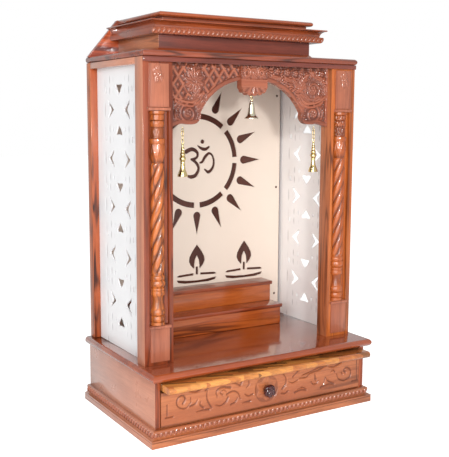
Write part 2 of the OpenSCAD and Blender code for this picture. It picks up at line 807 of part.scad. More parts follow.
// Chain link standing up, with round ends, its top wire centred on z = 0
module link(len, w) {
    r = w / 2 - wire_d / 2;
    straight = len - 2 * (r + wire_d / 2);
    for (s = [0, 1]) translate([0, 0, -r - s * straight]) rotate([0, s * 180, 0])
        rotate([90, 0, 0]) rotate_extrude(angle = 180) translate([r, 0]) circle(wire_d / 2, $fn = 24);
    for (s = [-1, 1]) translate([s * r, 0, -r - straight])
        cylinder(h = straight, r = wire_d / 2, $fn = 24);
}
link_pitch = link_len - 2 * wire_d - seat_gap;
// Side of a bell from its top at z = 0: a round shoulder, a waist and a flared rim
function bell_side(r, h, shoulder, n) = [for (i = [1 : n]) let (t = i / n)
    [r * (shoulder * sqrt(min(1, 4 * t)) + (0.7 - shoulder) * t + 0.3 * pow(t, 4)), -h * t]];
module bell_shell(r, h, shoulder) {
    n = 10;
    outer = bell_side(r, h, shoulder, n);
    rotate_extrude() polygon(concat([[0, 0], [outer[0][0] * 0.6, 0]], outer,
        [for (i = [n - 1 : -1 : 1]) [outer[i][0] - bell_wall, outer[i][1]]],
        [[0, crown_inside(h)]]));
}
// Height of the inside of the crown of a bell
function crown_inside(h) = -h * 0.2 + 1;
module clapper(h) {
    ball = 2.2;
    drop = h * 0.6;
    translate([0, 0, crown_inside(h) - seat_gap - drop]) {
        cylinder(h = drop, r = 0.8);
        sphere(ball);
    }
}
chain_end = swing_side_z - link_count * link_pitch;
bell_top_z = chain_end - stem_len;
module side_at(s) {
    translate([s * side_bell_x, front(bell_d), 0]) children();
}
module side_bell() {
    // Loop at the head, turned stem with a ball, and the bell
    translate([0, 0, chain_end]) rotate([0, 0, link_count % 2 == 0 ? 0 : 90]) link(9, 6);
    translate([0, 0, bell_top_z - 1]) cylinder(h = stem_len - 6, r = 1.8);
    translate([0, 0, bell_top_z + stem_len * 0.66]) sphere(3.2);
    translate([0, 0, bell_top_z + stem_len * 0.42]) sphere(2.6);
    translate([0, 0, bell_top_z + stem_len * 0.2]) sphere(4.4);
    translate([0, 0, bell_top_z]) bell_shell(side_bell_r, side_bell_h, 0.55);
}
module side_chain() {
    for (k = [0 : link_count - 1]) translate([0, 0, swing_side_z - k * link_pitch])
        rotate([0, 0, k % 2 == 0 ? 0 : 90]) link(link_len, link_w);
}
module left_bell() {
    color(brass) side_at(-1) side_bell();
}
module left_bell_chain() {
    color(brass) side_at(-1) side_chain();
}
module left_clapper() {
    color(brass) side_at(-1) translate([0, 0, bell_top_z]) clapper(side_bell_h);
}
module right_bell() {
    color(brass) side_at(1) side_bell();
}
module right_bell_chain() {
    color(brass) side_at(1) side_chain();
}
module right_clapper() {
    color(brass) side_at(1) translate([0, 0, bell_top_z]) clapper(side_bell_h);
}
swing_mid_z = pivot_z(mid_eye_z);
mid_top_z = swing_mid_z - 8;
module middle_bell() {
    color(brass) translate([0, front(bell_d), 0]) {
        translate([0, 0, swing_mid_z]) link(9.5, 7);
        translate([0, 0, mid_top_z]) bell_shell(mid_bell_r, mid_bell_h, 0.3);
    }
}
module middle_clapper() {
    color(brass) translate([0, front(bell_d), mid_top_z]) clapper(mid_bell_h);
}

bottom_board();
base_left_side();
base_right_side();
base_back();
base_front_rail();
plinth_front();
plinth_left();
plinth_right();
drawer_runners();
tray_cleats();
drawer_front();
drawer_left_side();
drawer_right_side();
drawer_back();
drawer_bottom();
drawer_knob();
sliding_tray();
platform();
left_front_post();
right_front_post();
left_back_post();
right_back_post();
left_column();
right_column();
side_top_rails();
left_jali();
right_jali();
back_board();
sun_panel();
arch_board();
arch_pendant();
lower_step_riser();
lower_step_tread();
upper_step_riser();
upper_step_tread();
step_ends();
top_board();
top_strip();
frieze();
frieze_foot_front();
frieze_foot_left();
frieze_foot_right();
cornice_front();
cornice_left();
cornice_right();
crown_neck();
crown_slab();
gable_board();
bell_eyes();
left_bell();
left_bell_chain();
left_clapper();
right_bell();
right_bell_chain();
right_clapper();
middle_bell();
middle_clapper();
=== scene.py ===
import json
import math

import bmesh
import bpy
import numpy as np
from mathutils import Matrix, Vector

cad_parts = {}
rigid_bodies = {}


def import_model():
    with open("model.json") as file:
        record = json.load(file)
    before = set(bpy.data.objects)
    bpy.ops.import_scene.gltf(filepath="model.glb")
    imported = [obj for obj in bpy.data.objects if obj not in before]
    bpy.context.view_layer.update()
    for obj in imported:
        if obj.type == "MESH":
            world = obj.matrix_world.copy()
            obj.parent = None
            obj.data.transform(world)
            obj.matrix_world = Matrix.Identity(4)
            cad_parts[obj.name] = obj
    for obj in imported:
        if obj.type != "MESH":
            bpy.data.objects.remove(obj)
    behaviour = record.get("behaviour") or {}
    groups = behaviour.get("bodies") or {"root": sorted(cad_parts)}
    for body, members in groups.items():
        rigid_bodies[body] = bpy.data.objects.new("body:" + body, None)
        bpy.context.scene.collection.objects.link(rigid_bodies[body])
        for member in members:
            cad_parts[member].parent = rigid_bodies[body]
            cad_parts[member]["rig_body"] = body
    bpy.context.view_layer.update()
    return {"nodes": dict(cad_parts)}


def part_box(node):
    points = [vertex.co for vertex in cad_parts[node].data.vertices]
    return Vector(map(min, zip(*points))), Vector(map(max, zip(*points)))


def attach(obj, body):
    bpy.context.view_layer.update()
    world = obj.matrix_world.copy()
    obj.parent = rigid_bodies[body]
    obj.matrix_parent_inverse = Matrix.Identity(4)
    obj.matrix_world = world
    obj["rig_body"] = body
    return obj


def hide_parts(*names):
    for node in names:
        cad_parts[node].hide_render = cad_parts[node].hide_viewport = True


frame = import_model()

NODES = frame["nodes"]
BODY = {name: NODES[name]["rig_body"] for name in NODES}
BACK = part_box("base_left_side")[1].y          # the plane that the shrine's back stands on
MM = 0.001


def box_mm(node):
    """A node's box in millimetres, as x, depth in front of the back plane, and height."""
    lo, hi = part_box(node)
    return (lo.x / MM, hi.x / MM, (BACK - hi.y) / MM, (BACK - lo.y) / MM, lo.z / MM, hi.z / MM)


def colour(red, green, blue):
    """A screen colour from 0 to 255 as the linear colour that a shader takes."""
    def linear(value):
        value /= 255
        return value / 12.92 if value <= 0.04045 else ((value + 0.055) / 1.055) ** 2.4
    return (linear(red), linear(green), linear(blue), 1.0)


# ---------------------------------------------------------------- shader helpers

class Net:
    """Adds shader nodes to a tree in one call each."""

    def __init__(self, tree):
        self.tree = tree

    def add(self, kind, inputs=None, **settings):
        node = self.tree.nodes.new(kind)
        for key, value in settings.items():
            setattr(node, key, value)
        for key, value in (inputs or {}).items():
            if isinstance(value, bpy.types.NodeSocket):
                self.tree.links.new(value, node.inputs[key])
            else:
                node.inputs[key].default_value = value
        return node

    def math(self, operation, a, b=0.0, c=0.0):
        return self.add("ShaderNodeMath", {0: a, 1: b, 2: c}, operation=operation).outputs[0]

    def mix(self, factor, a, b, blend="MIX"):
        node = self.add("ShaderNodeMix", {0: factor, 6: a, 7: b}, data_type="RGBA", blend_type=blend)
        return node.outputs[2]

    def ramp(self, value, low, high, to_low=0.0, to_high=1.0):
        return self.add("ShaderNodeMapRange", {0: value, 1: low, 2: high, 3: to_low, 4: to_high}).outputs[0]

    def noise(self, vector, scale, detail=2.0, roughness=0.5, distortion=0.0):
        return self.add("ShaderNodeTexNoise", {"Vector": vector, "Scale": scale, "Detail": detail,
                                               "Roughness": roughness, "Distortion": distortion}).outputs[0]

    def stretch(self, vector, factors):
        return self.add("ShaderNodeVectorMath", {0: vector, 1: factors}, operation="MULTIPLY").outputs[0]


def new_group(name, inputs, outputs):
    """A shader group with named sockets: inputs are (socket type, name, value), outputs (socket type, name)."""
    tree = bpy.data.node_groups.new(name, "ShaderNodeTree")
    for kind, label, value in inputs:
        socket = tree.interface.new_socket(label, in_out="INPUT", socket_type=kind)
        if value is not None:
            socket.default_value = value
    for kind, label in outputs:
        tree.interface.new_socket(label, in_out="OUTPUT", socket_type=kind)
    return tree, Net(tree), tree.nodes.new("NodeGroupInput").outputs, tree.nodes.new("NodeGroupOutput").inputs


VALUE, TINT, VECTOR = "NodeSocketFloat", "NodeSocketColor", "NodeSocketVector"


def grain_group():
    """Teak grain along local X: broad tone, growth lines, dark streaks, fibres and pores."""
    tree, net, given, out = new_group(
        "teak grain",
        [(VECTOR, "Vector", None), (TINT, "Light", colour(190, 110, 70)), (TINT, "Mid", colour(160, 80, 50)),
         (TINT, "Dark", colour(80, 35, 22)), (VALUE, "Streak", 0.5), (VALUE, "Figure", 1.0)],
        [(TINT, "Color"), (VALUE, "Height"), (VALUE, "Pores")])
    broad = net.noise(net.stretch(given["Vector"], (1.1, 17.0, 17.0)), 1.0, 3.0, 0.5)
    tone = net.ramp(broad, 0.34, 0.64)
    rings = net.ramp(net.math("SINE", net.math("MULTIPLY", broad, 95.0)), -1.0, 1.0)
    rings = net.math("POWER", rings, 2.5)
    patch = net.ramp(net.noise(net.stretch(given["Vector"], (1.7, 13.0, 13.0)), 1.0, 2.0), 0.42, 0.62)
    fibre = net.ramp(net.noise(net.stretch(given["Vector"], (7.0, 190.0, 190.0)), 1.0, 3.0, 0.6), 0.36, 0.66)
    vein = net.ramp(net.noise(net.stretch(given["Vector"], (2.0, 52.0, 52.0)), 1.0, 2.0, 0.5, 0.4), 0.56, 0.68)
    streak = net.math("MAXIMUM", net.math("MULTIPLY", rings, patch), net.math("MULTIPLY", vein, 0.8))
    streak = net.math("MINIMUM", net.math("MULTIPLY", streak, given["Streak"]), 1.0)
    pores = net.noise(net.stretch(given["Vector"], (40.0, 1100.0, 1100.0)), 1.0, 2.0, 0.6)
    fleck = net.ramp(pores, 0.42, 0.62)
    base = net.mix(net.math("MULTIPLY", tone, given["Figure"]), given["Mid"], given["Light"])
    base = net.mix(net.math("MULTIPLY", fibre, 0.5), base, given["Mid"])
    base = net.mix(streak, base, given["Dark"])
    base = net.mix(net.math("MULTIPLY", fleck, 0.2), base, given["Dark"])
    net.tree.links.new(base, out["Color"])
    net.tree.links.new(net.math("ADD", net.math("MULTIPLY", rings, 0.3), pores), out["Height"])
    net.tree.links.new(fleck, out["Pores"])
    return tree


def carved_group():
    """Paints shade into the low ground of a carving and a painted highlight onto its crests, from the piece's relief
    attribute.
    """
    tree, net, given, out = new_group(
        "carved shade",
        [(TINT, "Color", None), (VALUE, "Depth", 0.6), (VALUE, "Crest", 0.15),
         (TINT, "Painted Shade", colour(70, 28, 20)), (TINT, "Painted Highlight", colour(214, 150, 116))],
        [(TINT, "Color"), (VALUE, "Low")])
    relief = net.add("ShaderNodeAttribute", attribute_name="relief").outputs["Fac"]
    low = net.ramp(relief, 0.75, 0.1)
    shade = net.mix(net.math("MULTIPLY", low, given["Depth"]), given["Color"], given["Painted Shade"])
    crest = net.math("MULTIPLY", net.ramp(relief, 0.86, 1.0), given["Crest"])
    net.tree.links.new(net.mix(crest, shade, given["Painted Highlight"]), out["Color"])
    net.tree.links.new(low, out["Low"])
    return tree


def wear_group():
    """Uneven film of lacquer or paint: soft mottling of colour and gloss."""
    tree, net, given, out = new_group(
        "film mottle",
        [(VECTOR, "Vector", None), (TINT, "Color", None), (VALUE, "Amount", 0.1), (VALUE, "Scale", 18.0),
         (VALUE, "Rough", 0.3)],
        [(TINT, "Color"), (VALUE, "Roughness"), (VALUE, "Height")])
    cloud = net.noise(given["Vector"], given["Scale"], 3.0)
    fine = net.noise(given["Vector"], 900.0, 2.0)
    darker = net.mix(1.0, given["Color"], (0.72, 0.68, 0.66, 1.0), "MULTIPLY")
    spread = net.math("MULTIPLY", net.ramp(cloud, 0.35, 0.7), given["Amount"])
    net.tree.links.new(net.mix(spread, given["Color"], darker), out["Color"])
    net.tree.links.new(net.math("ADD", given["Rough"], net.math("MULTIPLY", net.math("SUBTRACT", cloud, 0.5), 0.2)),
                       out["Roughness"])
    net.tree.links.new(fine, out["Height"])
    return tree


GRAIN, CARVED, MOTTLE = grain_group(), carved_group(), wear_group()
TURN = {"x": (0.0, 0.0, 0.0), "y": (0.0, 0.0, math.pi / 2), "z": (0.0, math.pi / 2, 0.0)}
WOODS = {
    "teak": (colour(178, 88, 44), colour(146, 62, 29), colour(60, 21, 10)),
    "strip": (colour(168, 80, 38), colour(128, 54, 26), colour(54, 19, 10)),
    "block": (colour(184, 112, 84), colour(158, 88, 62), colour(88, 42, 28)),
    "amber": (colour(208, 118, 52), colour(172, 80, 31), colour(76, 29, 10)),
    "honey": (colour(204, 126, 80), colour(168, 94, 58), colour(92, 44, 24)),
    # side_sheen: pale pinkish teak for side faces, with the white surroundings' reflection and the light from the left
    # painted into it
    "side_sheen": (colour(204, 138, 108), colour(184, 116, 86), colour(118, 64, 44)),
    "rosy": (colour(142, 66, 46), colour(108, 44, 32), colour(46, 18, 14)),
    "carving": (colour(180, 102, 72), colour(148, 78, 54), colour(66, 30, 22)),
    "maroon": (colour(160, 78, 48), colour(124, 54, 34), colour(52, 20, 12)),
    "flame": (colour(206, 98, 50), colour(162, 62, 34), colour(86, 26, 14)),
    "gold": (colour(222, 150, 76), colour(188, 108, 52), colour(88, 42, 22)),
    "pale": (colour(224, 176, 106), colour(198, 138, 70), colour(96, 58, 30)),
    "brown": (colour(96, 52, 38), colour(76, 38, 28), colour(42, 20, 14)),
}
_made = {}


def wood(tone, axis, seed=0, streak=0.5, figure=1.0, rough=0.3, coat=0.7, carved=0.0, crest=0.15, bump=0.15):
    """Lacquered wood of one tone with its grain along one axis. The seed moves the grain, so that no two boards match."""
    key = ("wood", tone, axis, seed, streak, figure, rough, coat, carved, crest, bump)
    if key in _made:
        return _made[key]
    light, mid, dark = WOODS[tone]
    mat = bpy.data.materials.new(f"{tone}_{axis}_{seed}" + ("_carved" if carved else ""))
    mat.use_nodes = True
    mat.node_tree.nodes.clear()
    net = Net(mat.node_tree)
    where = net.add("ShaderNodeTexCoord").outputs["Object"]
    turned = net.add("ShaderNodeMapping", {"Vector": where, "Rotation": TURN[axis],
                                           "Location": (0.37 * seed, 0.113 * seed, 0.071 * seed)}).outputs[0]
    grain = net.add("ShaderNodeGroup", node_tree=GRAIN)
    mat.node_tree.links.new(turned, grain.inputs["Vector"])
    for label, value in (("Light", light), ("Mid", mid), ("Dark", dark), ("Streak", streak), ("Figure", figure)):
        grain.inputs[label].default_value = value
    film = net.add("ShaderNodeGroup", node_tree=MOTTLE)
    mat.node_tree.links.new(where, film.inputs["Vector"])
    mat.node_tree.links.new(grain.outputs["Color"], film.inputs["Color"])
    film.inputs["Amount"].default_value = 0.35
    film.inputs["Rough"].default_value = rough
    shade = film.outputs["Color"]
    # carved sets the painted shade in a carving's low ground, crest the painted highlight on its crests
    if carved:
        cut = net.add("ShaderNodeGroup", node_tree=CARVED)
        mat.node_tree.links.new(shade, cut.inputs["Color"])
        cut.inputs["Depth"].default_value = carved
        cut.inputs["Crest"].default_value = crest
        shade = cut.outputs["Color"]
    height = net.math("ADD", grain.outputs["Height"], net.math("MULTIPLY", film.outputs["Height"], 0.4))
    relief = net.add("ShaderNodeBump", {"Strength": bump, "Distance": 0.0006, "Height": height}).outputs[0]
    surface = net.add("ShaderNodeBsdfPrincipled", {
        "Base Color": shade, "Roughness": film.outputs["Roughness"], "Normal": relief,
        "Coat Weight": coat, "Coat Roughness": 0.09, "Coat IOR": 1.5, "IOR": 1.45})
    net.add("ShaderNodeOutputMaterial", {"Surface": surface.outputs[0]})
    _made[key] = mat
    return mat


def painted(name, tint, rough=0.4, coat=0.2, mottle=0.15, scale=18.0, bump=0.08, cut_shade=None):
    """Painted or moulded board: an even colour with a soft mottle, and a painted grey shade in its cut slots."""
    if name in _made:
        return _made[name]
    mat = bpy.data.materials.new(name)
    mat.use_nodes = True
    mat.node_tree.nodes.clear()
    net = Net(mat.node_tree)
    where = net.add("ShaderNodeTexCoord").outputs["Object"]
    film = net.add("ShaderNodeGroup", node_tree=MOTTLE)
    mat.node_tree.links.new(where, film.inputs["Vector"])
    for label, value in (("Color", tint), ("Amount", mottle), ("Scale", scale), ("Rough", rough)):
        film.inputs[label].default_value = value
    shade = film.outputs["Color"]
    # cut_shade is the colour of the painted shade in the slots
    if cut_shade:
        cut = net.add("ShaderNodeGroup", node_tree=CARVED)
        net.tree.links.new(shade, cut.inputs["Color"])
        for label, value in (("Depth", 0.8), ("Crest", 0.0), ("Painted Shade", cut_shade)):
            cut.inputs[label].default_value = value
        shade = cut.outputs["Color"]
    relief = net.add("ShaderNodeBump", {"Strength": bump, "Distance": 0.0004, "Height": film.outputs["Height"]})
    surface = net.add("ShaderNodeBsdfPrincipled", {
        "Base Color": shade, "Roughness": film.outputs["Roughness"], "Normal": relief.outputs[0],
        "Coat Weight": coat, "Coat Roughness": 0.15, "IOR": 1.45})
    net.add("ShaderNodeOutputMaterial", {"Surface": surface.outputs[0]})
    _made[name] = mat
    return mat


def striped(name):
    """A board of pale, golden and dark strips that run slantwise, under lacquer."""
    mat = bpy.data.materials.new(name)
    mat.use_nodes = True
    mat.node_tree.nodes.clear()
    net = Net(mat.node_tree)
    where = net.add("ShaderNodeTexCoord").outputs["Object"]
    slant = net.add("ShaderNodeMapping", {"Vector": where, "Rotation": (0.0, 0.0, 0.32)}).outputs[0]
    row = net.add("ShaderNodeSeparateXYZ", {0: net.stretch(slant, (17.0, 120.0, 1.0))}).outputs
    wander = net.noise(net.stretch(slant, (4.0, 50.0, 1.0)), 1.0, 2.0)
    lane = net.math("FLOOR", net.math("ADD", row["Y"], wander))
    step = net.math("FLOOR", net.math("ADD", row["X"], net.math("MULTIPLY", lane, 0.37)))
    cell = net.add("ShaderNodeCombineXYZ", {0: step, 1: lane, 2: 3.0}).outputs[0]
    chance = net.add("ShaderNodeTexWhiteNoise", {0: cell}, noise_dimensions="3D").outputs[0]
    light, mid, dark = WOODS["gold"]
    shade = net.mix(net.ramp(chance, 0.2, 0.75), mid, light)
    shade = net.mix(net.math("MULTIPLY", net.math("GREATER_THAN", chance, 0.84), 0.75), shade, dark)
    fibre = net.ramp(net.noise(net.stretch(slant, (14.0, 260.0, 260.0)), 1.0, 3.0, 0.6), 0.4, 0.65)
    shade = net.mix(net.math("MULTIPLY", fibre, 0.35), shade, dark)
    surface = net.add("ShaderNodeBsdfPrincipled", {
        "Base Color": shade, "Roughness": net.ramp(fibre, 0.0, 1.0, 0.26, 0.4),
        "Normal": net.add("ShaderNodeBump", {"Strength": 0.15, "Distance": 0.0005, "Height": fibre}).outputs[0],
        "Coat Weight": 0.6, "Coat Roughness": 0.1, "IOR": 1.45})
    net.add("ShaderNodeOutputMaterial", {"Surface": surface.outputs[0]})
    return mat


def metal(name, tint, dull, rough=0.2):
    """Polished metal with a thin tarnish in soft patches."""
    if name in _made:
        return _made[name]
    mat = bpy.data.materials.new(name)
    mat.use_nodes = True
    mat.node_tree.nodes.clear()
    net = Net(mat.node_tree)
    where = net.add("ShaderNodeTexCoord").outputs["Object"]
    film = net.add("ShaderNodeGroup", node_tree=MOTTLE)
    mat.node_tree.links.new(where, film.inputs["Vector"])
    for label, value in (("Color", tint), ("Amount", dull), ("Scale", 90.0), ("Rough", rough)):
        film.inputs[label].default_value = value
    surface = net.add("ShaderNodeBsdfPrincipled", {
        "Base Color": film.outputs["Color"], "Roughness": film.outputs["Roughness"], "Metallic": 1.0})
    net.add("ShaderNodeOutputMaterial", {"Surface": surface.outputs[0]})
    _made[name] = mat
    return mat


# ---------------------------------------------------------------- mesh helpers

def put(name, verts, faces, body, mat, replaces=(), smooth=40.0, relief=None):
    """A finished mesh piece in metres that rides on a body."""
    data = bpy.data.meshes.new(name)
    data.from_pydata([tuple(v) for v in verts], [], [tuple(f) for f in faces])
    data.validate()
    piece = bpy.data.objects.new(name, data)
    bpy.context.scene.collection.objects.link(piece)
    if relief is not None:
        layer = data.attributes.new("relief", "FLOAT", "POINT")
        layer.data.foreach_set("value", np.asarray(relief, np.float32))
    data.materials.append(mat)
    if smooth:
        data.polygons.foreach_set("use_smooth", [True] * len(data.polygons))
        data.set_sharp_from_angle(angle=math.radians(smooth))
    return dress(piece, body, replaces)


def dress(piece, body, replaces=()):
    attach(piece, body)
    if replaces:
        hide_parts(*replaces)
    return piece


def merged(node):
    """A node's mesh with its doubles merged and its flat facets joined, as bmesh."""
    bm = bmesh.new()
    bm.from_mesh(NODES[node].data)
    bmesh.ops.remove_doubles(bm, verts=bm.verts, dist=2e-6)
    bmesh.ops.dissolve_limit(bm, angle_limit=math.radians(0.6), verts=bm.verts, edges=bm.edges)
    return bm


def eased(node, mat, width=1.0, steps=2, name=None, bevel_angle=30.0, smooth=35.0):
    """A node's shape with its sharp edges eased, which stands for the node."""
    bm = merged(node)
    lines = [[tuple(v.co) for v in bm.verts], [[v.index for v in f.verts] for f in bm.faces]]
    bm.free()
    data = bpy.data.meshes.new(name or node + ".wood")
    data.from_pydata(lines[0], [], lines[1])
    piece = bpy.data.objects.new(name or node + ".wood", data)
    bpy.context.scene.collection.objects.link(piece)
    cut = piece.modifiers.new("edge", "BEVEL")
    cut.width, cut.segments, cut.limit_method = width * MM, steps, "ANGLE"
    cut.angle_limit = math.radians(bevel_angle)
    cut.use_clamp_overlap = True
    return finish_mesh(piece, BODY[node], mat, (node,), smooth)


def finish_mesh(piece, body, mat, replaces=(), smooth=35.0):
    """Applies a piece's modifiers, shades it and sets it on its body."""
    graph = bpy.context.evaluated_depsgraph_get()
    done = bpy.data.meshes.new_from_object(piece.evaluated_get(graph))
    piece.modifiers.clear()
    piece.data = done
    done.name = piece.name
    done.materials.clear()
    done.materials.append(mat)
    done.polygons.foreach_set("use_smooth", [True] * len(done.polygons))
    done.polygons.foreach_set("material_index", [0] * len(done.polygons))
    done.set_sharp_from_angle(angle=math.radians(smooth))
    return dress(piece, body, replaces)


def front_loops(node, direction=(0, -1, 0)):
    """The closed outlines, as x and z in millimetres, of a node's flat face that looks one way."""
    bm = merged(node)
    look = Vector(direction)
    faces = [f for f in bm.faces if f.normal.dot(look) > 0.999]
    reach = max(f.calc_center_median().dot(look) for f in faces)
    faces = {f for f in faces if abs(f.calc_center_median().dot(look) - reach) < 1e-5}
    following = {}
    for f in faces:
        for loop in f.loops:
            if sum(g in faces for g in loop.edge.link_faces) == 1:
                following[loop.vert.index] = loop.link_loop_next.vert.index
    at = {v.index: (v.co.x / MM, v.co.z / MM) for v in bm.verts}
    if abs(look.x) > 0.5:
        at = {v.index: (v.co.y / MM, v.co.z / MM) for v in bm.verts}
    bm.free()
    loops = []
    while following:
        start = here = next(iter(following))
        line = []
        while here in following:
            line.append(at[here])
            here = following.pop(here)
        loops.append(np.array(line))
    return sorted(loops, key=lambda line: -np.ptp(line[:, 0]) * np.ptp(line[:, 1]))


def near_line(points, line):
    """For many points: the distance to a closed line, and the nearest point on it."""
    best = np.full(len(points), 1e9)
    foot = np.zeros_like(points)
    for a, b in zip(line, np.roll(line, -1, axis=0)):
        ab = b - a
        length = ab @ ab
        if length < 1e-12:
            continue
        t = np.clip(((points - a) @ ab) / length, 0, 1)
        near = a + t[:, None] * ab
        gap = np.hypot(*(points - near).T)
        closer = gap < best
        best[closer] = gap[closer]
        foot[closer] = near[closer]
    return best, foot


def inside_line(points, line):
    """Which of many points lie inside a closed line."""
    count = np.zeros(len(points), int)
    for (ax, az), (bx, bz) in zip(line, np.roll(line, -1, axis=0)):
        if az == bz:
            continue
        crosses = (az > points[:, 1]) != (bz > points[:, 1])
        at = ax + (points[:, 1] - az) / (bz - az) * (bx - ax)
        count += crosses & (points[:, 0] < at)
    return count % 2 == 1


def carved_plate(name, line, cell, front, back, ground, body, mat, replaces=(), smooth=50.0):
    """A plate with one outline, in x and z mm, whose front follows ground(x, z, distance to the edge).

    ground gives the depth in mm below the front face, and a share from 0 (deepest) to 1 for the painted shade, which is
    darkest at 0."""
    lo, hi = line.min(0), line.max(0)
    nx, nz = (max(2, int(round(s / cell)) + 1) for s in hi - lo)
    xs, zs = np.linspace(lo[0], hi[0], nx), np.linspace(lo[1], hi[1], nz)
    grid = np.stack(np.meshgrid(xs, zs, indexing="ij"), -1).reshape(-1, 2)
    gap, foot = near_line(grid, line)
    edge = gap < 0.55 * cell
    kept = inside_line(grid, line) | edge
    grid[edge] = foot[edge]
    gap[edge] = 0
    index = np.arange(nx * nz).reshape(nx, nz)
    quads = np.stack([index[:-1, :-1], index[1:, :-1], index[1:, 1:], index[:-1, 1:]], -1).reshape(-1, 4)
    quads = quads[kept[quads].all(1)]
    used = np.unique(quads)
    renumber = np.full(nx * nz, -1)
    renumber[used] = np.arange(len(used))
    quads, grid, gap = renumber[quads], grid[used], gap[used]
    depth, share = ground(grid[:, 0], grid[:, 1], gap)
    verts = np.stack([grid[:, 0], np.zeros(len(grid)), grid[:, 1]], -1) * MM
    verts[:, 1] = BACK - (front - depth) * MM
    pairs = np.concatenate([quads[:, [0, 1]], quads[:, [1, 2]], quads[:, [2, 3]], quads[:, [3, 0]]])
    seen = {tuple(p) for p in pairs.tolist()}
    rim = [p for p in seen if (p[1], p[0]) not in seen]
    behind = {}
    back_verts = []
    for a, _ in rim:
        if a not in behind:
            behind[a] = len(verts) + len(back_verts)
            back_verts.append((verts[a][0], BACK - back * MM, verts[a][2]))
    faces = quads.tolist()
    walls = [(b, a, behind[a], behind[b]) for a, b in rim if a in behind and b in behind]
    verts = np.concatenate([verts, np.array(back_verts)])
    share = np.concatenate([share, np.full(len(back_verts), 0.8)])
    bm = bmesh.new()
    layer = bm.verts.layers.float.new("relief")
    vs = [bm.verts.new(v) for v in verts]
    for v, s in zip(vs, share):
        v[layer] = s
    for f in faces + walls:
        try:
            bm.faces.new([vs[i] for i in f])
        except ValueError:
            pass
    bm.verts.index_update()
    open_edges = [e for e in bm.edges if len(e.link_faces) == 1]
    bmesh.ops.holes_fill(bm, edges=open_edges, sides=0)
    bmesh.ops.triangulate(bm, faces=[f for f in bm.faces if len(f.verts) > 4])
    bmesh.ops.recalc_face_normals(bm, faces=bm.faces)
    data = bpy.data.meshes.new(name)
    bm.to_mesh(data)
    bm.free()
    piece = bpy.data.objects.new(name, data)
    bpy.context.scene.collection.objects.link(piece)
    data.materials.append(mat)
    data.polygons.foreach_set("use_smooth", [True] * len(data.polygons))
    data.set_sharp_from_angle(angle=math.radians(smooth))
    return dress(piece, body, replaces)


# ---------------------------------------------------------------- carving strokes, in millimetres

def bead(gap, half, height):
    """A round ridge over a line, from the distance to that line."""
    return height * np.sqrt(np.clip(1 - (gap / half) ** 2, 0, 1))


def leaf(x, z, start, end, half, height, bow=0.0):
    """A pointed leaf with a midrib and side veins, from its stalk to its tip."""
    (ax, az), (bx, bz) = start, end
    length = math.hypot(bx - ax, bz - az)
    ux, uz = (bx - ax) / length, (bz - az) / length
    t = ((x - ax) * ux + (z - az) * uz) / length
    side = (x - ax) * -uz + (z - az) * ux - bow * 4 * t * (1 - t)
    along = np.clip(t, 0, 1)
    width = half * np.sin(np.pi * along ** 0.75) ** 0.8 + 1e-6
    inside = (t > 0) & (t < 1) & (np.abs(side) < width)
    swell = np.sqrt(np.clip(1 - (side / width) ** 2, 0, 1))
    veins = 0.82 + 0.18 * np.cos((t * length - np.abs(side) * 0.9) * 1.5)
    rib = 1 - 0.45 * np.exp(-(side / (0.12 * half + 0.25)) ** 2)
    return np.where(inside, height * swell * veins * rib, 0)


def scroll(x, z, cx, cz, outer, inner, turns, start, hand, half, height):
    """A spiral ridge that winds in from its outer to its inner radius."""
    radius = np.hypot(x - cx, z - cz)
    angle = (hand * (np.arctan2(z - cz, x - cx) - start)) % (2 * np.pi)
    best = np.full(np.shape(x), 1e9)
    for k in range(int(turns) + 2):
        total = angle + 2 * np.pi * k
        r = outer + (inner - outer) * total / (2 * np.pi * turns)
        best = np.where(total <= 2 * np.pi * turns, np.minimum(best, np.abs(radius - r)), best)
    return bead(best, half, height)


def flower(x, z, cx, cz, reach, petals, height, turn=0.0):
    """A round flower with cupped petals and a button."""
    radius = np.hypot(x - cx, z - cz)
    angle = np.arctan2(z - cz, x - cx) + turn
    lobe = np.abs(np.cos(petals * angle / 2))
    edge = reach * (0.72 + 0.28 * lobe)
    swell = np.sqrt(np.clip(1 - (radius / edge) ** 2, 0, 1))
    cup = height * swell * (0.55 + 0.45 * lobe) * (0.75 + 0.25 * np.cos(radius / reach * 9))
    return np.maximum(np.where(radius < edge, cup, 0), bead(radius, reach * 0.24, height))


def strands(x, z, points, half, height):
    """A ridge along a bent line."""
    pts = np.stack([np.ravel(x), np.ravel(z)], -1)
    best = np.full(len(pts), 1e9)
    for a, b in zip(points[:-1], points[1:]):
        a, b = np.array(a, float), np.array(b, float)
        ab = b - a
        t = np.clip(((pts - a) @ ab) / (ab @ ab), 0, 1)
        best = np.minimum(best, np.hypot(*(pts - a - t[:, None] * ab).T))
    return bead(best.reshape(np.shape(x)), half, height)


# ---------------------------------------------------------------- camera, light and floor

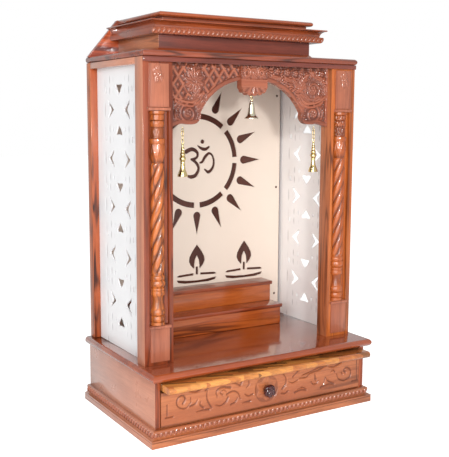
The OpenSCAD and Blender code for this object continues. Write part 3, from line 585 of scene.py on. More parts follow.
def studio():
    bpy.context.scene.view_settings.view_transform = "Standard"
    camera = bpy.data.objects.new("camera", bpy.data.cameras.new("camera"))
    bpy.context.scene.collection.objects.link(camera)
    yaw, pitch, roll = math.radians(31.34), math.radians(-7.73), math.radians(0.29)
    ahead = Vector((math.sin(yaw) * math.cos(pitch), math.cos(yaw) * math.cos(pitch), math.sin(pitch)))
    right = Vector((math.cos(yaw), -math.sin(yaw), 0))
    up = right.cross(ahead)
    level = Matrix((right, up, -ahead)).transposed()
    camera.matrix_world = Matrix.Translation((-1.0404, -1.6761, 0.6989)) @ (level @ Matrix.Rotation(roll, 3, "Z")).to_4x4()
    camera.data.sensor_width = 36
    camera.data.lens = 65.24
    camera.data.clip_end = 60
    bpy.context.scene.camera = camera

    world = bpy.data.worlds.new("white studio")
    bpy.context.scene.world = world
    world.use_nodes = True
    net = Net(world.node_tree)
    world.node_tree.nodes.clear()
    path = net.add("ShaderNodeLightPath").outputs
    seen = net.math("MAXIMUM", path["Is Camera Ray"], path["Is Transmission Ray"])
    strength = net.ramp(seen, 0.0, 1.0, 0.62, 1.0)
    back = net.add("ShaderNodeBackground", {"Color": (1, 1, 1, 1), "Strength": strength})
    net.add("ShaderNodeOutputWorld", {"Surface": back.outputs[0]})

    def panel(name, at, aim, size, power, tint=(1, 1, 1)):
        lamp = bpy.data.lights.new(name, "AREA")
        lamp.shape, lamp.size, lamp.size_y, lamp.energy, lamp.color = "RECTANGLE", size[0], size[1], power, tint
        thing = bpy.data.objects.new(name, lamp)
        bpy.context.scene.collection.objects.link(thing)
        thing.location = at
        thing.rotation_mode = "QUATERNION"
        thing.rotation_quaternion = (Vector(aim) - Vector(at)).to_track_quat("-Z", "Y")

    panel("key", (-0.81, -2.54, 1.04), (0, 0, 0.55), (0.2, 0.2), 30)
    panel("fill", (-1.6, -2.8, 1.2), (0, 0, 0.5), (2.4, 2.0), 41)
    panel("side", (-2.2, -1.6, 1.0), (0, 0, 0.5), (1.2, 1.2), 21)

    floor_mat = bpy.data.materials.new("white floor")
    floor_mat.use_nodes = True
    floor_mat.node_tree.nodes.clear()
    net = Net(floor_mat.node_tree)
    where = net.add("ShaderNodeTexCoord").outputs["Object"]
    paper = net.mix(net.noise(where, 3.0), (0.94, 0.94, 0.94, 1), (0.97, 0.97, 0.97, 1))
    path = net.add("ShaderNodeLightPath").outputs
    surface = net.add("ShaderNodeBsdfPrincipled", {"Base Color": paper, "Roughness": 0.9,
                                                   "Emission Color": (1, 1, 1, 1),
                                                   "Emission Strength": net.math("MULTIPLY", path["Is Camera Ray"], 0.6)})
    net.add("ShaderNodeOutputMaterial", {"Surface": surface.outputs[0]})
    data = bpy.data.meshes.new("floor")
    data.from_pydata([(-12, -12, 0), (12, -12, 0), (12, 12, 0), (-12, 12, 0)], [], [(0, 1, 2, 3)])
    data.materials.append(floor_mat)
    floor = bpy.data.objects.new("floor", data)
    bpy.context.scene.collection.objects.link(floor)
    floor.location.z = -0.0005


studio()

# ---------------------------------------------------------------- boards that keep the solids' shape

BOARDS = [
    # node, tone, grain axis, streak, figure, roughness, coat
    ("bottom_board", "brown", "x", 0.3, 1.0, 0.5, 0.1),
    ("base_left_side", "side_sheen", "y", 0.25, 1.0, 0.3, 1.0),
    ("base_right_side", "side_sheen", "y", 0.25, 1.0, 0.3, 1.0),
    ("base_back", "brown", "x", 0.3, 1.0, 0.5, 0.1),
    ("base_front_rail", "honey", "x", 0.3, 1.0, 0.3, 0.6),
    ("plinth_front", "honey", "x", 0.45, 1.0, 0.32, 0.6),
    ("plinth_left", "side_sheen", "y", 0.4, 1.0, 0.32, 0.8),
    ("plinth_right", "side_sheen", "y", 0.4, 1.0, 0.32, 0.8),
    ("drawer_runners", "pale", "y", 0.2, 1.0, 0.5, 0.0),
    ("tray_cleats", "pale", "y", 0.2, 1.0, 0.5, 0.0),
    ("platform", "teak", "x", 0.35, 1.0, 0.16, 1.0),
    ("drawer_left_side", "pale", "y", 0.2, 1.0, 0.5, 0.0),
    ("drawer_right_side", "pale", "y", 0.2, 1.0, 0.5, 0.0),
    ("drawer_back", "pale", "x", 0.2, 1.0, 0.5, 0.0),
    ("drawer_bottom", "pale", "x", 0.2, 1.0, 0.5, 0.0),
    ("side_top_rails", "side_sheen", "y", 0.3, 1.0, 0.3, 0.8),
    ("back_board", "brown", "z", 0.3, 1.0, 0.4, 0.2),
    ("left_back_post", "teak", "z", 1.2, 1.0, 0.4, 0.25),
    ("right_back_post", "teak", "z", 1.2, 1.0, 0.4, 0.25),
    ("lower_step_riser", "amber", "x", 1.0, 1.0, 0.22, 0.9),
    ("lower_step_tread", "teak", "x", 0.9, 1.0, 0.2, 1.0),
    ("upper_step_riser", "amber", "x", 0.5, 1.0, 0.24, 0.9),
    ("upper_step_tread", "teak", "x", 0.7, 1.0, 0.34, 0.45),
    ("step_ends", "teak", "y", 0.5, 1.0, 0.3, 0.6),
    ("top_board", "maroon", "x", 0.8, 1.0, 0.3, 0.7),
    ("top_strip", "rosy", "x", 0.4, 1.0, 0.3, 0.8),
    ("frieze", "rosy", "x", 0.9, 1.0, 0.4, 0.3),
    ("frieze_foot_front", "teak", "x", 0.3, 1.0, 0.3, 0.8),
    ("frieze_foot_left", "teak", "y", 0.3, 1.0, 0.3, 0.8),
    ("frieze_foot_right", "teak", "y", 0.3, 1.0, 0.3, 0.8),
    ("cornice_front", "strip", "x", 0.5, 1.0, 0.3, 0.8),
    ("cornice_left", "strip", "y", 0.5, 1.0, 0.3, 0.8),
    ("cornice_right", "strip", "y", 0.5, 1.0, 0.3, 0.8),
    ("crown_neck", "strip", "x", 0.4, 1.0, 0.3, 0.8),
    ("crown_slab", "teak", "x", 0.5, 1.0, 0.28, 0.9),
    ("gable_board", "flame", "x", 1.1, 1.0, 0.2, 1.0),
]


def second_cut(piece, mat, chosen):
    """Gives another material to the faces that chosen(centre in mm, normal) picks: another cut of wood, or the pale
    side tone with its painted sheen.
    """
    piece.data.materials.append(mat)
    last = len(piece.data.materials) - 1
    for face in piece.data.polygons:
        if chosen(face.center / MM, face.normal):
            face.material_index = last


for seed, (node, tone, axis, streak, figure, rough, coat) in enumerate(BOARDS, 1):
    board = eased(node, wood(tone, axis, seed, streak, figure, rough, coat))
    # Base sides: the side faces keep the pale side tone with its painted sheen, and their front and back edges take
    # plain teak
    if node in ("base_left_side", "base_right_side"):
        second_cut(board, wood("teak", "z", seed + 40, 0.6, 1.0, 0.36, 0.4), lambda mid, n: abs(n.y) > 0.7)
    if node in ("left_back_post", "right_back_post"):
        second_cut(board, wood("amber", "z", seed + 40, 0.7, 1.0, 0.34, 0.5), lambda mid, n: abs(n.x) > 0.7 and abs(mid.x) > 270)
    if node == "frieze":
        second_cut(board, wood("honey", "y", seed + 40, 0.8, 1.0, 0.4, 0.3), lambda mid, n: abs(n.x) > 0.7)

# Front posts: blocks and the sides of the opening each show a lighter cut than the strips beside the column; the outer
# sides take the pale side tone, painted lighter as a painted sheen of the light from the left
for seed, node, front, reveal in ((51, "left_front_post", "strip", "strip"), (52, "right_front_post", "amber", "honey")):
    post = eased(node, wood(front, "z", seed, 0.9, 1.0, 0.36, 0.45), 0.8)
    second_cut(post, wood("block", "z", seed + 10, 0.5, 1.0, 0.38, 0.45),
               lambda mid, n: abs(abs(mid.x) - 246.5) < 27 and BACK / MM - mid.y > 306 and (mid.z < 250 or mid.z > 707))
    second_cut(post, wood("side_sheen", "z", seed + 20, 0.5, 1.0, 0.4, 0.3), lambda mid, n: abs(n.x) > 0.7 and abs(mid.x) > 275)
    second_cut(post, wood(reveal, "z", seed + 30, 0.8, 1.0, 0.4, 0.3), lambda mid, n: abs(n.x) > 0.7 and abs(mid.x) < 216)

# Tray of the pull-out shelf: pale and dark strips side by side
eased("sliding_tray", striped("tray_strips"), 0.8)

# Both lattice boards are one white paint: the right one is painted lighter for the light on its inner face, and both
# take a painted grey shade in their slots
WHITE = painted("white_board", colour(230, 230, 231), 0.35, 0.3, 0.08, cut_shade=colour(140, 134, 138))
WHITE_PAINTED_LIT = painted("white_board_painted_lit", colour(245, 243, 242), 0.35, 0.2, 0.06, cut_shade=colour(168, 158, 160))
CREAM = painted("cream_board", colour(232, 217, 202), 0.4, 0.2, 0.1, 7.0)
BRASS = metal("brass", colour(240, 220, 160), 0.35, 0.14)
# The middle bell is the same brass painted whiter, as a painted reflection of the white surroundings
BRASS_PAINTED_SHEEN = metal("brass_painted_sheen", colour(238, 230, 206), 0.3, 0.1)
STEEL = metal("screw_steel", colour(110, 92, 84), 0.4, 0.3)
# The rose knob's cut_shade is the painted shade in the folds of its petals
ROSE = painted("rose_knob", colour(66, 14, 20), 0.12, 1.0, 0.3, 60.0, cut_shade=colour(20, 8, 12))
# Carving finishes: the carved value sets the painted shade in the low ground, and crest sets the painted highlight on
# the crests
CARVED_TEAK = wood("carving", "x", 95, 0.4, 1.0, 0.36, 0.6, 0.7, 0.12)
CARVED_HONEY = wood("honey", "x", 96, 0.8, 1.0, 0.42, 0.35, 0.62, 0.0)
COLUMN = wood("amber", "z", 91, 0.8, 1.0, 0.32, 0.55, 0.8, 0.1)
BLOCK_ROSE = wood("block", "z", 98, 0.3, 1.0, 0.26, 0.9, 0.8, 0.3)
ROPE = wood("block", "x", 97, 0.2, 1.0, 0.24, 0.9)


# ---------------------------------------------------------------- carved arch and its pendant

def soffit_gap(x, z, line):
    """Distance to the open edge of the arch: its outline without the top and the two sides."""
    pts = np.stack([x, z], -1)
    lo, hi = line.min(0), line.max(0)
    best = np.full(len(pts), 1e9)
    for a, b in zip(line, np.roll(line, -1, axis=0)):
        on_top = a[1] > hi[1] - 0.5 and b[1] > hi[1] - 0.5
        on_side = abs(a[0] - b[0]) < 0.2 and (abs(a[0] - lo[0]) < 0.5 or abs(a[0] - hi[0]) < 0.5)
        if on_top or on_side:
            continue
        ab = b - a
        t = np.clip(((pts - a) @ ab) / max(ab @ ab, 1e-9), 0, 1)
        best = np.minimum(best, np.hypot(*(pts - a - t[:, None] * ab).T))
    return best


def foliage(x, z, reach=1.0):
    """A dense carpet of small curled leaves, which fills the ground between the larger ones."""
    bend = 2.2 * np.sin(x * 0.11 + z * 0.07)
    a = np.sin(0.42 / reach * x + bend + 0.9 * np.sin(0.31 * z))
    b = np.sin(0.47 / reach * z - bend + 1.1 * np.sin(0.27 * x))
    return 3.4 * np.clip(np.abs(a * b) * 1.6, 0, 1) ** 0.6


def lattice(x, z):
    """Flat crossing bars with a bud in each diamond."""
    u = (x + 191) / 25.5 + (z - 802) / 36.0
    v = (x + 191) / 25.5 - (z - 802) / 36.0
    bar = np.minimum(np.abs(u - np.floor(u) - 0.5), np.abs(v - np.floor(v) - 0.5))
    across = np.maximum(np.abs(u - np.round(u)), np.abs(v - np.round(v)))
    bars = 4.3 * np.clip((0.17 - bar) / 0.05, 0, 1)
    bud = 3.2 * np.clip((0.22 - across) / 0.12, 0, 1)
    return np.maximum(bars, bud)


def arch_ground(line):
    top = line[:, 1].max()
    floor = 4.6

    def left_half(x, z):
        rise = lattice(x, z)
        cluster = np.hypot(x + 151, (z - 775) * 0.8) < 26
        rise = np.where(cluster, foliage(x, z, 0.8) * 0.5, rise)
        for lean, reach, half in ((90, 34, 8), (62, 30, 7), (118, 30, 7), (20, 27, 7), (160, 27, 7), (-20, 26, 8), (200, 26, 8),
                                  (-55, 27, 8), (235, 27, 8), (-90, 25, 7)):
            a = math.radians(lean)
            rise = np.maximum(rise, leaf(x, z, (-151 + 4 * math.cos(a), 773 + 4 * math.sin(a)),
                                         (-151 + reach * math.cos(a), 773 + reach * math.sin(a)), half, 4.5, 2.0))
        return np.maximum(rise, flower(x, z, -151, 773, 10, 5, 4.6))

    def right_half(x, z):
        rise = foliage(x, z)
        rise = np.where(np.hypot(x - 172, z - 760) < 28, 0.6 * foliage(x, z, 0.6), rise)
        rise = np.maximum(rise, scroll(x, z, 172, 760, 25, 5, 1.7, 2.6, 1, 2.0, 3.0))
        rise = np.maximum(rise, flower(x, z, 172, 760, 11, 6, 4.6))
        for cx, cz, reach in ((68, 802, 9), (96, 800, 9), (120, 798, 8), (150, 795, 8), (196, 800, 8)):
            rise = np.where(np.hypot(x - cx, z - cz) < reach + 2.5, 0.4, rise)
            rise = np.maximum(rise, flower(x, z, cx, cz, reach, 5, 4.4))
        for ax, az, bx, bz, half, bow in ((128, 762, 162, 800, 9, 3), (124, 756, 150, 776, 7, -2), (176, 790, 204, 782, 7, 2),
                                          (206, 770, 214, 738, 6, 0), (196, 744, 170, 731, 7, -3), (108, 786, 128, 764, 7, 2),
                                          (84, 786, 112, 776, 6, 2), (46, 788, 80, 786, 5, 1), (160, 806, 176, 786, 6, 2)):
            rise = np.maximum(rise, leaf(x, z, (ax, az), (bx, bz), half, 4.5, bow))
        return rise

    def ground(x, z, gap):
        rim = soffit_gap(x, z, line)
        rise = np.where(x < 0, left_half(x, z), right_half(x, z))
        # The lobes: a rosette in curled leaves, under two sweeping strands
        for s, cx in ((-1, -166), (1, 173)):
            lobe = (s * x > 118) & (z < 740 - 0.22 * (s * x - 160))
            rise = np.where(lobe, foliage(x, z, 0.9) * 0.8, rise)
            rise = np.where(np.hypot(x - cx, z - 704) < 24, 0.4, rise)
            rise = np.maximum(rise, scroll(x, z, cx, 704, 21, 6, 1.5, math.pi / 2, -s, 2.6, 3.4))
            rise = np.maximum(rise, flower(x, z, cx, 704, 10, 6, 4.6, 0.3))
            for lift in (0, -8):
                sweep = [(s * 207, 746 + lift), (s * 192, 735 + lift), (s * 174, 729 + lift), (s * 156, 728 + lift), (s * 142, 735 + lift)]
                rise = np.maximum(rise, strands(x, z, sweep, 3.2, 4.5 + lift * 0.06))
            for k, (ax, az, bx, bz) in enumerate(((152, 722, 126, 756), (147, 716, 122, 742), (146, 708, 124, 728), (160, 732, 134, 764))):
                rise = np.maximum(rise, leaf(x, z, (s * ax, az), (s * bx, bz), 7, 4.5 - 0.3 * k, s * 3))
            rise = np.maximum(rise, strands(x, z, [(s * 206, 738), (s * 203, 716), (s * 197, 696), (s * 186, 684)], 2.6, 4.2))
            rise = np.where((s * x > 201) & (z < 735), np.where(s * x > 206, 4.0, 0.4), rise)
        # Plain rim along the opening, with a groove above it
        bow = (np.abs(x) < 122) | (z < 690)
        rise = np.where((rim < 10.5) & bow, 1.4, rise)
        rise = np.where((rim < 9.0) & bow, 2.4 + 1.0 * np.sqrt(np.clip(1 - ((rim - 4.6) / 4.4) ** 2, 0, 1)), rise)
        rise = np.where(~bow, np.maximum(rise, 3.0 * np.clip((2.6 - rim) / 1.0, 0, 1)), rise)
        # Notches under the top strip, cut to the deepest ground so that they take the full painted shade, and the plain
        # side edges
        notch = np.abs((x + 202) / 22.0 - np.round((x + 202) / 22.0)) * 22.0
        rise = np.where((z > top - 15) & (notch < 5.5), 0.0, rise)
        rise = np.where(np.abs(x) > 209.5, 4.0, rise)
        # The share paints shade into the low ground; the rim's share is cut, so that it takes a little painted shade
        # and no painted highlight
        return floor - rise, np.where((rim < 10.5) & bow, 0.78, 1.0) * rise / floor
    return ground


LOBE_X = [136, 139, 144, 150, 158, 170, 178, 186, 196, 207, 213]
LOBE_Z = [693, 688.5, 684, 681.5, 680.5, 680.5, 682, 681.5, 679, 675.5, 675]


def scalloped(line):
    """The arch's outline with the straight foot of its two lobes cut to a shallow scallop."""
    points = []
    for a, b in zip(line, np.roll(line, -1, axis=0)):
        steps = max(1, int(np.hypot(*(b - a)) / 2.0))
        points += [a + (b - a) * k / steps for k in range(steps)]
    points = np.array(points)
    points[:, 1] = np.maximum(points[:, 1], np.interp(np.abs(points[:, 0]), LOBE_X, LOBE_Z))
    return points


def carved_arch():
    x0, x1, d0, d1, z0, z1 = box_mm("arch_board")
    line = scalloped(front_loops("arch_board")[0])
    carved_plate("carved_arch", line, 1.15, d1, d0, arch_ground(line), "cabinet", CARVED_TEAK, ("arch_board",), 60)
    x0, x1, d0, d1, z0, z1 = box_mm("arch_pendant")
    line = front_loops("arch_pendant")[0]

    def pendant(x, z, gap):
        floor = 4.0
        rise = np.full_like(x, 3.2)
        top = z > z0 + 36
        leafy = foliage(x, z, 0.8) * 0.8
        for s in (-1, 1):
            leafy = np.maximum(leafy, scroll(x, z, s * 19, z1 - 15, 10, 3, 1.4, 1.2, s, 2.4, 4.0))
            leafy = np.maximum(leafy, leaf(x, z, (0, z0 + 38), (s * 18, z1 - 2), 7, 4.0, s * 2))
            leafy = np.maximum(leafy, leaf(x, z, (s * 12, z0 + 38), (s * 31, z0 + 44), 4, 3.6))
        leafy = np.maximum(leafy, leaf(x, z, (0, z0 + 37), (0, z1 - 1), 6, 4.0))
        rise = np.where(top, leafy, rise)
        for level, high in ((35.5, 4.0), (28.0, 3.6), (21.0, 4.0)):
            rise = np.maximum(rise, bead(z - z0 - level, 2.4, high))
        fan = z < z0 + 18.5
        angle = np.arctan2(x, z0 + 34 - z)
        flute = 0.5 + 0.5 * np.cos(angle * 13)
        rise = np.where(fan, 1.2 + 2.6 * flute ** 0.7, rise)
        rise = np.where(fan & (gap < 2.2), 3.8, rise)
        # The share paints shade into the low ground and a painted highlight onto the crests
        return floor - rise, rise / floor
    carved_plate("carved_pendant", line, 0.9, d1, d0, pendant, "cabinet", CARVED_TEAK, ("arch_pendant",), 60)


# ---------------------------------------------------------------- drawer front with cut scrolls

DRAWER_CUTS = [
    # points in x and z mm, half width of the groove at each end of the stroke
    ([(-257, 86), (-257, 60)], 1.4, 1.4), ([(-261, 57), (-243, 57)], 1.6, 1.6),
    ([(-200, 92), (-200, 80), (-213, 70), (-228, 75), (-234, 86), (-230, 97), (-219, 100), (-213, 91), (-219, 82)], 1.0, 2.4),
    ([(-204, 107), (-190, 103), (-179, 105), (-171, 112)], 0.8, 3.0), ([(-200, 73), (-188, 76), (-182, 85)], 2.6, 1.0),
    ([(-157, 103), (-159, 91), (-157, 78), (-147, 60)], 1.0, 2.2), ([(-162, 102), (-149, 110)], 2.4, 0.8),
    ([(-185, 57), (-168, 58), (-153, 57)], 0.8, 2.8), ([(-168, 64), (-176, 72), (-174, 80)], 2.2, 0.8),
    ([(-132, 82), (-135, 93), (-129, 100), (-117, 102), (-98, 98)], 1.0, 3.0), ([(-118, 84), (-124, 90), (-116, 95), (-108, 90)], 1.6, 0.8),
    ([(-107, 84), (-91, 88), (-77, 81), (-71, 66)], 2.4, 1.0), ([(-136, 64), (-124, 60), (-110, 66), (-104, 76)], 1.0, 2.4),
    ([(-96, 110), (-80, 103), (-72, 99), (-66, 110)], 1.0, 2.8), ([(-96, 58), (-84, 62), (-78, 72)], 2.2, 0.8),
    ([(-66, 56), (-45, 57)], 0.8, 3.0), ([(-56, 90), (-48, 97), (-50, 107)], 0.8, 2.0), ([(-60, 76), (-50, 70), (-38, 72)], 1.0, 2.2),
    ([(44, 70), (53, 80), (54, 94), (44, 108)], 2.4, 1.0), ([(40, 60), (52, 58), (60, 62)], 1.0, 2.4),
    ([(74, 94), (93, 109)], 2.2, 2.2), ([(92, 88), (112, 87), (126, 95), (150, 99), (167, 105)], 1.0, 2.4),
    ([(100, 94), (126, 99), (154, 106), (172, 107)], 0.8, 3.6), ([(62, 84), (74, 80), (88, 84)], 0.8, 2.0),
    ([(138, 93), (141, 77)], 1.0, 3.2), ([(128, 74), (133, 67), (143, 66), (149, 72)], 1.4, 1.4),
    ([(157, 54), (178, 58), (196, 56)], 2.8, 1.2), ([(170, 78), (180, 66), (196, 57)], 0.9, 2.8), ([(157, 54), (166, 64), (170, 77)], 0.8, 1.4),
    ([(80, 55), (97, 58), (114, 55)], 2.6, 1.4), ([(88, 62), (103, 64), (114, 56)], 0.8, 1.6),
    ([(178, 103), (192, 100), (204, 102), (219, 108)], 1.0, 3.0), ([(186, 88), (194, 92), (200, 86)], 0.8, 1.8),
    ([(205, 80), (212, 66), (229, 60), (246, 67), (248, 82), (237, 92), (228, 87), (232, 79)], 1.2, 2.6),
    ([(219, 82), (224, 76)], 1.6, 1.6), ([(267, 107), (269, 56)], 1.7, 1.7), ([(253, 54), (271, 54)], 1.9, 1.9),
]


def carved_drawer():
    x0, x1, d0, d1, z0, z1 = box_mm("drawer_front")
    line = np.array([(x0 + 0.6, z0 + 0.6), (x1 - 0.6, z0 + 0.6), (x1 - 0.6, z1 - 0.6), (x0 + 0.6, z1 - 0.6)])
    knob = box_mm("drawer_knob")
    cx, cz = (knob[0] + knob[1]) / 2, (knob[4] + knob[5]) / 2 + 3
    grooves = []
    for points, first, last in DRAWER_CUTS:
        bent = smooth_line(points, 7) if len(points) > 2 else np.array(points, float)
        grooves.append((bent, np.linspace(first, last, len(bent))))

    def ground(x, z, gap):
        cut = np.zeros_like(x)
        for bent, half in grooves:
            near = (x > bent[:, 0].min() - 6) & (x < bent[:, 0].max() + 6)
            away = brush(x[near], z[near], bent, half)
            cut[near] = np.maximum(cut[near], 2.6 * np.clip(0.5 - away / 2.2, 0, 1))
        # A cupped blossom round the knob, cut in a sunk ring
        reach = np.hypot(x - cx, z - cz)
        sunk = np.clip((33 - reach) / 1.5, 0, 1) * 1.9
        petals = np.zeros_like(x)
        for k in range(6):
            a = math.radians(60 * k + 12)
            petals = np.maximum(petals, leaf(x, z, (cx + 8 * math.cos(a), cz + 8 * math.sin(a)),
                                             (cx + 31 * math.cos(a + 0.3), cz + 31 * math.sin(a + 0.3)), 12, 1.9, 3.0))
        cut = np.where(reach < 33, np.maximum(sunk - petals, 0), cut)
        # The share paints shade into the grooves and the sunk ring
        return cut, 1 - cut / 2.9
    carved_plate("carved_drawer_front", line, 1.25, d1, d0, ground, "drawer", CARVED_HONEY, ("drawer_front",), 50)


# ---------------------------------------------------------------- turned half columns

FOOT = [(0, 0), (0, .05), (-2.5, .06), (-1, .08), (0, .125), (-1, .175), (-3, .19), (0, .21), (1, .26), (0, .31), (-1.5, .33),
        (-3.5, .45), (-4, .5), (-3, .56), (-2, .59), (-.5, .6), (0, .64), (-.5, .68), (-2, .69), (-.5, .705), (-.5, .74),
        (-2.5, .755), (.5, .79), (1.5, .83), (.5, .88), (-1.5, .9), (0, .915), (.5, .95), (0, .98), (-2, 1)]
CAP = [(-3, 0), (-1, .05), (1, .14), (1.5, .2), (1, .28), (0, .365), (1.5, .38), (2, .42), (1.5, .465), (-2, .475), (-2, .5),
       (-1.5, .52), (-1.5, .66), (-2.5, .68), (-.5, .7), (.5, .75), (-.5, .805), (-2.5, .815), (0, .83), (0, .92), (-1, .93),
       (1.5, .95), (1.5, 1)]


def half_column(node, name):
    x0, x1, d0, d1, z0, z1 = box_mm(node)
    cx, side = (x0 + x1) / 2, (-1 if x0 < 0 else 1)
    foot, shaft, radius = 110.0, 242.0, 16.0
    cap = z1 - z0 - foot - shaft
    heights = np.concatenate([np.linspace(0, foot, 180), np.linspace(foot, foot + shaft, 250)[1:-1],
                              np.linspace(foot + shaft, z1 - z0, 200)])
    angles = np.radians(np.linspace(-90, 90, 61))
    h, a = np.meshgrid(heights, angles, indexing="ij")
    foot_r = radius + np.interp(h / foot, [p[1] for p in FOOT], [p[0] for p in FOOT])
    cap_t = (h - foot - shaft) / cap
    cap_r = radius + np.interp(cap_t, [p[1] for p in CAP], [p[0] for p in CAP])
    turn = 2 * np.pi * (h - foot) / 150.0
    strand = np.abs(np.cos(2 * (a * 1.0 - turn)))
    shaft_r = radius * (0.74 + 0.26 * strand ** 0.6)
    fade = np.clip(np.minimum(h - foot, foot + shaft - h) / 6, 0, 1)
    shaft_r = shaft_r * fade + (radius - 2.5) * (1 - fade)
    # Leaves on the vase under the cap, and on the drum of the cap
    tip = np.abs(np.mod(a * 3 / np.pi + 0.5, 1) - 0.5) * 2
    vase_leaf = np.where((cap_t > 0.02) & (cap_t < 0.36), np.clip(1 - np.abs(tip - np.clip((0.34 - cap_t) * 3.2, 0, 1)) * 3.5, 0, 1), 0)
    carved = 1.1 * vase_leaf - np.where((cap_t > 0.03) & (cap_t < 0.35), 0.7, 0)
    drum = (cap_t > 0.5) & (cap_t < 0.94)
    cut = 0.5 + 0.5 * np.cos(a * 12) * np.cos((cap_t - 0.5) * 32)
    deep = 2.2 if side > 0 else 0.5
    carved = carved + np.where(drum, -deep * cut, 0)
    r = np.where(h <= foot, foot_r, np.where(h >= foot + shaft, cap_r + carved, shaft_r))
    # Share for the painted shade: darker in the hollows of the foot, in the strands' grooves and over the whole cap,
    # most in its cuts; the strands' crests take a little painted highlight
    low = np.where(h <= foot, np.clip((foot_r - radius + 5) / 5, 0.42, 0.9),
                   np.where(h >= foot + shaft, np.clip((cap_r + carved - radius + 4) / 6, 0.1, 0.62), 0.2 + 0.7 * strand))
    d = d0 + np.cos(a) * np.minimum(r, d1 - d0 - 0.05)
    x = cx + np.sin(a) * r
    verts = np.stack([x * MM, BACK - d * MM, (z0 + h) * MM], -1).reshape(-1, 3)
    rows, cols = h.shape
    index = np.arange(rows * cols).reshape(rows, cols)
    faces = np.stack([index[:-1, :-1], index[:-1, 1:], index[1:, 1:], index[1:, :-1]], -1).reshape(-1, 4).tolist()
    faces.append(index[0, ::-1].tolist())
    faces.append(index[-1].tolist())
    faces.append(index[:, 0].tolist() + index[::-1, -1].tolist())
    put(name, verts, faces, "cabinet", COLUMN, (node,), 60, low.reshape(-1))


# ---------------------------------------------------------------- repeated pieces with Geometry Nodes

def run_tree():
    """Sets copies of the given mesh along a straight line, at a named start, step and count."""
    tree = bpy.data.node_groups.new("row of copies", "GeometryNodeTree")
    for kind, label, way in (("NodeSocketGeometry", "Shape", "INPUT"), ("NodeSocketVector", "Start", "INPUT"),
                             ("NodeSocketVector", "Step", "INPUT"), ("NodeSocketInt", "Count", "INPUT"),
                             ("NodeSocketMaterial", "Finish", "INPUT"), ("NodeSocketGeometry", "Row", "OUTPUT")):
        tree.interface.new_socket(label, in_out=way, socket_type=kind)
    given, out = tree.nodes.new("NodeGroupInput").outputs, tree.nodes.new("NodeGroupOutput").inputs
    line = tree.nodes.new("GeometryNodeMeshLine")
    copies = tree.nodes.new("GeometryNodeInstanceOnPoints")
    real = tree.nodes.new("GeometryNodeRealizeInstances")
    finish = tree.nodes.new("GeometryNodeSetMaterial")
    for a, b in ((given["Count"], line.inputs["Count"]), (given["Start"], line.inputs["Start Location"]),
                 (given["Step"], line.inputs["Offset"]), (line.outputs[0], copies.inputs["Points"]),
                 (given["Shape"], copies.inputs["Instance"]), (copies.outputs[0], real.inputs[0]),
                 (real.outputs[0], finish.inputs["Geometry"]), (given["Finish"], finish.inputs["Material"]),
                 (finish.outputs[0], out["Row"])):
        tree.links.new(a, b)
    return tree


ROW = run_tree()


def row_of(name, verts, faces, start, step, count, body, mat, smooth=60.0):
    """A row of copies of one small shape, as one plain mesh on its body."""
    data = bpy.data.meshes.new(name)
    data.from_pydata([tuple(v) for v in verts], [], [tuple(f) for f in faces])
    piece = bpy.data.objects.new(name, data)
    bpy.context.scene.collection.objects.link(piece)
    nodes = piece.modifiers.new("row", "NODES")
    nodes.node_group = ROW
    sockets = {item.name: item.identifier for item in ROW.interface.items_tree if item.in_out == "INPUT"}
    for label, value in (("Start", start), ("Step", step), ("Count", count), ("Finish", mat)):
        nodes[sockets[label]] = value
    return finish_mesh(piece, body, mat, (), smooth)


def pebble(size, lean=(0.0, 0.0, 0.0), around=10, rings=6):
    """A closed egg of three half axes in mm, leaned over."""
    turn = Matrix.Rotation(lean[0], 3, "X") @ Matrix.Rotation(lean[1], 3, "Y") @ Matrix.Rotation(lean[2], 3, "Z")
    verts = [turn @ Vector((0, 0, -size[2] * MM))]
    for j in range(1, rings):
        b = math.pi * (j / rings - 0.5)
        for i in range(around):
            a = 2 * math.pi * i / around
            verts.append(turn @ Vector((size[0] * MM * math.cos(a) * math.cos(b), size[1] * MM * math.sin(a) * math.cos(b),
                                        size[2] * MM * math.sin(b))))
    verts.append(turn @ Vector((0, 0, size[2] * MM)))
    faces = [(0, 1 + (i + 1) % around, 1 + i) for i in range(around)]
    for j in range(rings - 2):
        for i in range(around):
            k, n = 1 + j * around + i, 1 + j * around + (i + 1) % around
            faces.append((k, n, n + around, k + around))
    last = len(verts) - 1
    faces += [(last, last - around + i, last - around + (i + 1) % around) for i in range(around)]
    return verts, faces


def ropes():
    """Slanted beads along the cornice front and along the top of the plinth."""
    x0, x1, d0, d1, z0, z1 = box_mm("cornice_front")
    count = 38
    pitch = (x1 - x0 - 18) / (count - 1)
    verts, faces = pebble((4.0, 5.2, 7.4), (0, math.radians(28), 0))
    row_of("cornice_rope", verts, faces, ((x0 + 9) * MM, BACK - (d0 + 20.2) * MM, (z0 + 6.9) * MM), (pitch * MM, 0, 0), count,
           "cabinet", ROPE)
    x0, x1, d0, d1, z0, z1 = box_mm("plinth_front")
    count = 49
    pitch = (x1 - x0 - 26) / (count - 1)
    verts, faces = pebble((4.2, 4.6, 8.0), (0, math.radians(18), 0))
    row_of("plinth_rope", verts, faces, ((x0 + 13) * MM, BACK - (d0 + 6.0) * MM, (z1 - 9.2) * MM), (pitch * MM, 0, 0), count,
           "cabinet", ROPE)
    verts, faces = pebble((4.6, 4.2, 8.0), (math.radians(18), 0, 0))
    for side, node in ((-1, "plinth_left"), (1, "plinth_right")):
        a0, a1, d0, d1, z0, z1 = box_mm(node)
        count = 31
        pitch = (d1 - d0 - 20) / (count - 1)
        outer = side * (abs(a0 if side > 0 else a1) + 7.6)
        row_of(node + "_rope", verts, faces, (outer * MM, BACK - (d0 + 8) * MM, (z1 - 9.2) * MM), (0, -pitch * MM, 0), count,
               "cabinet", ROPE)


# ---------------------------------------------------------------- sun panel with its cut sign

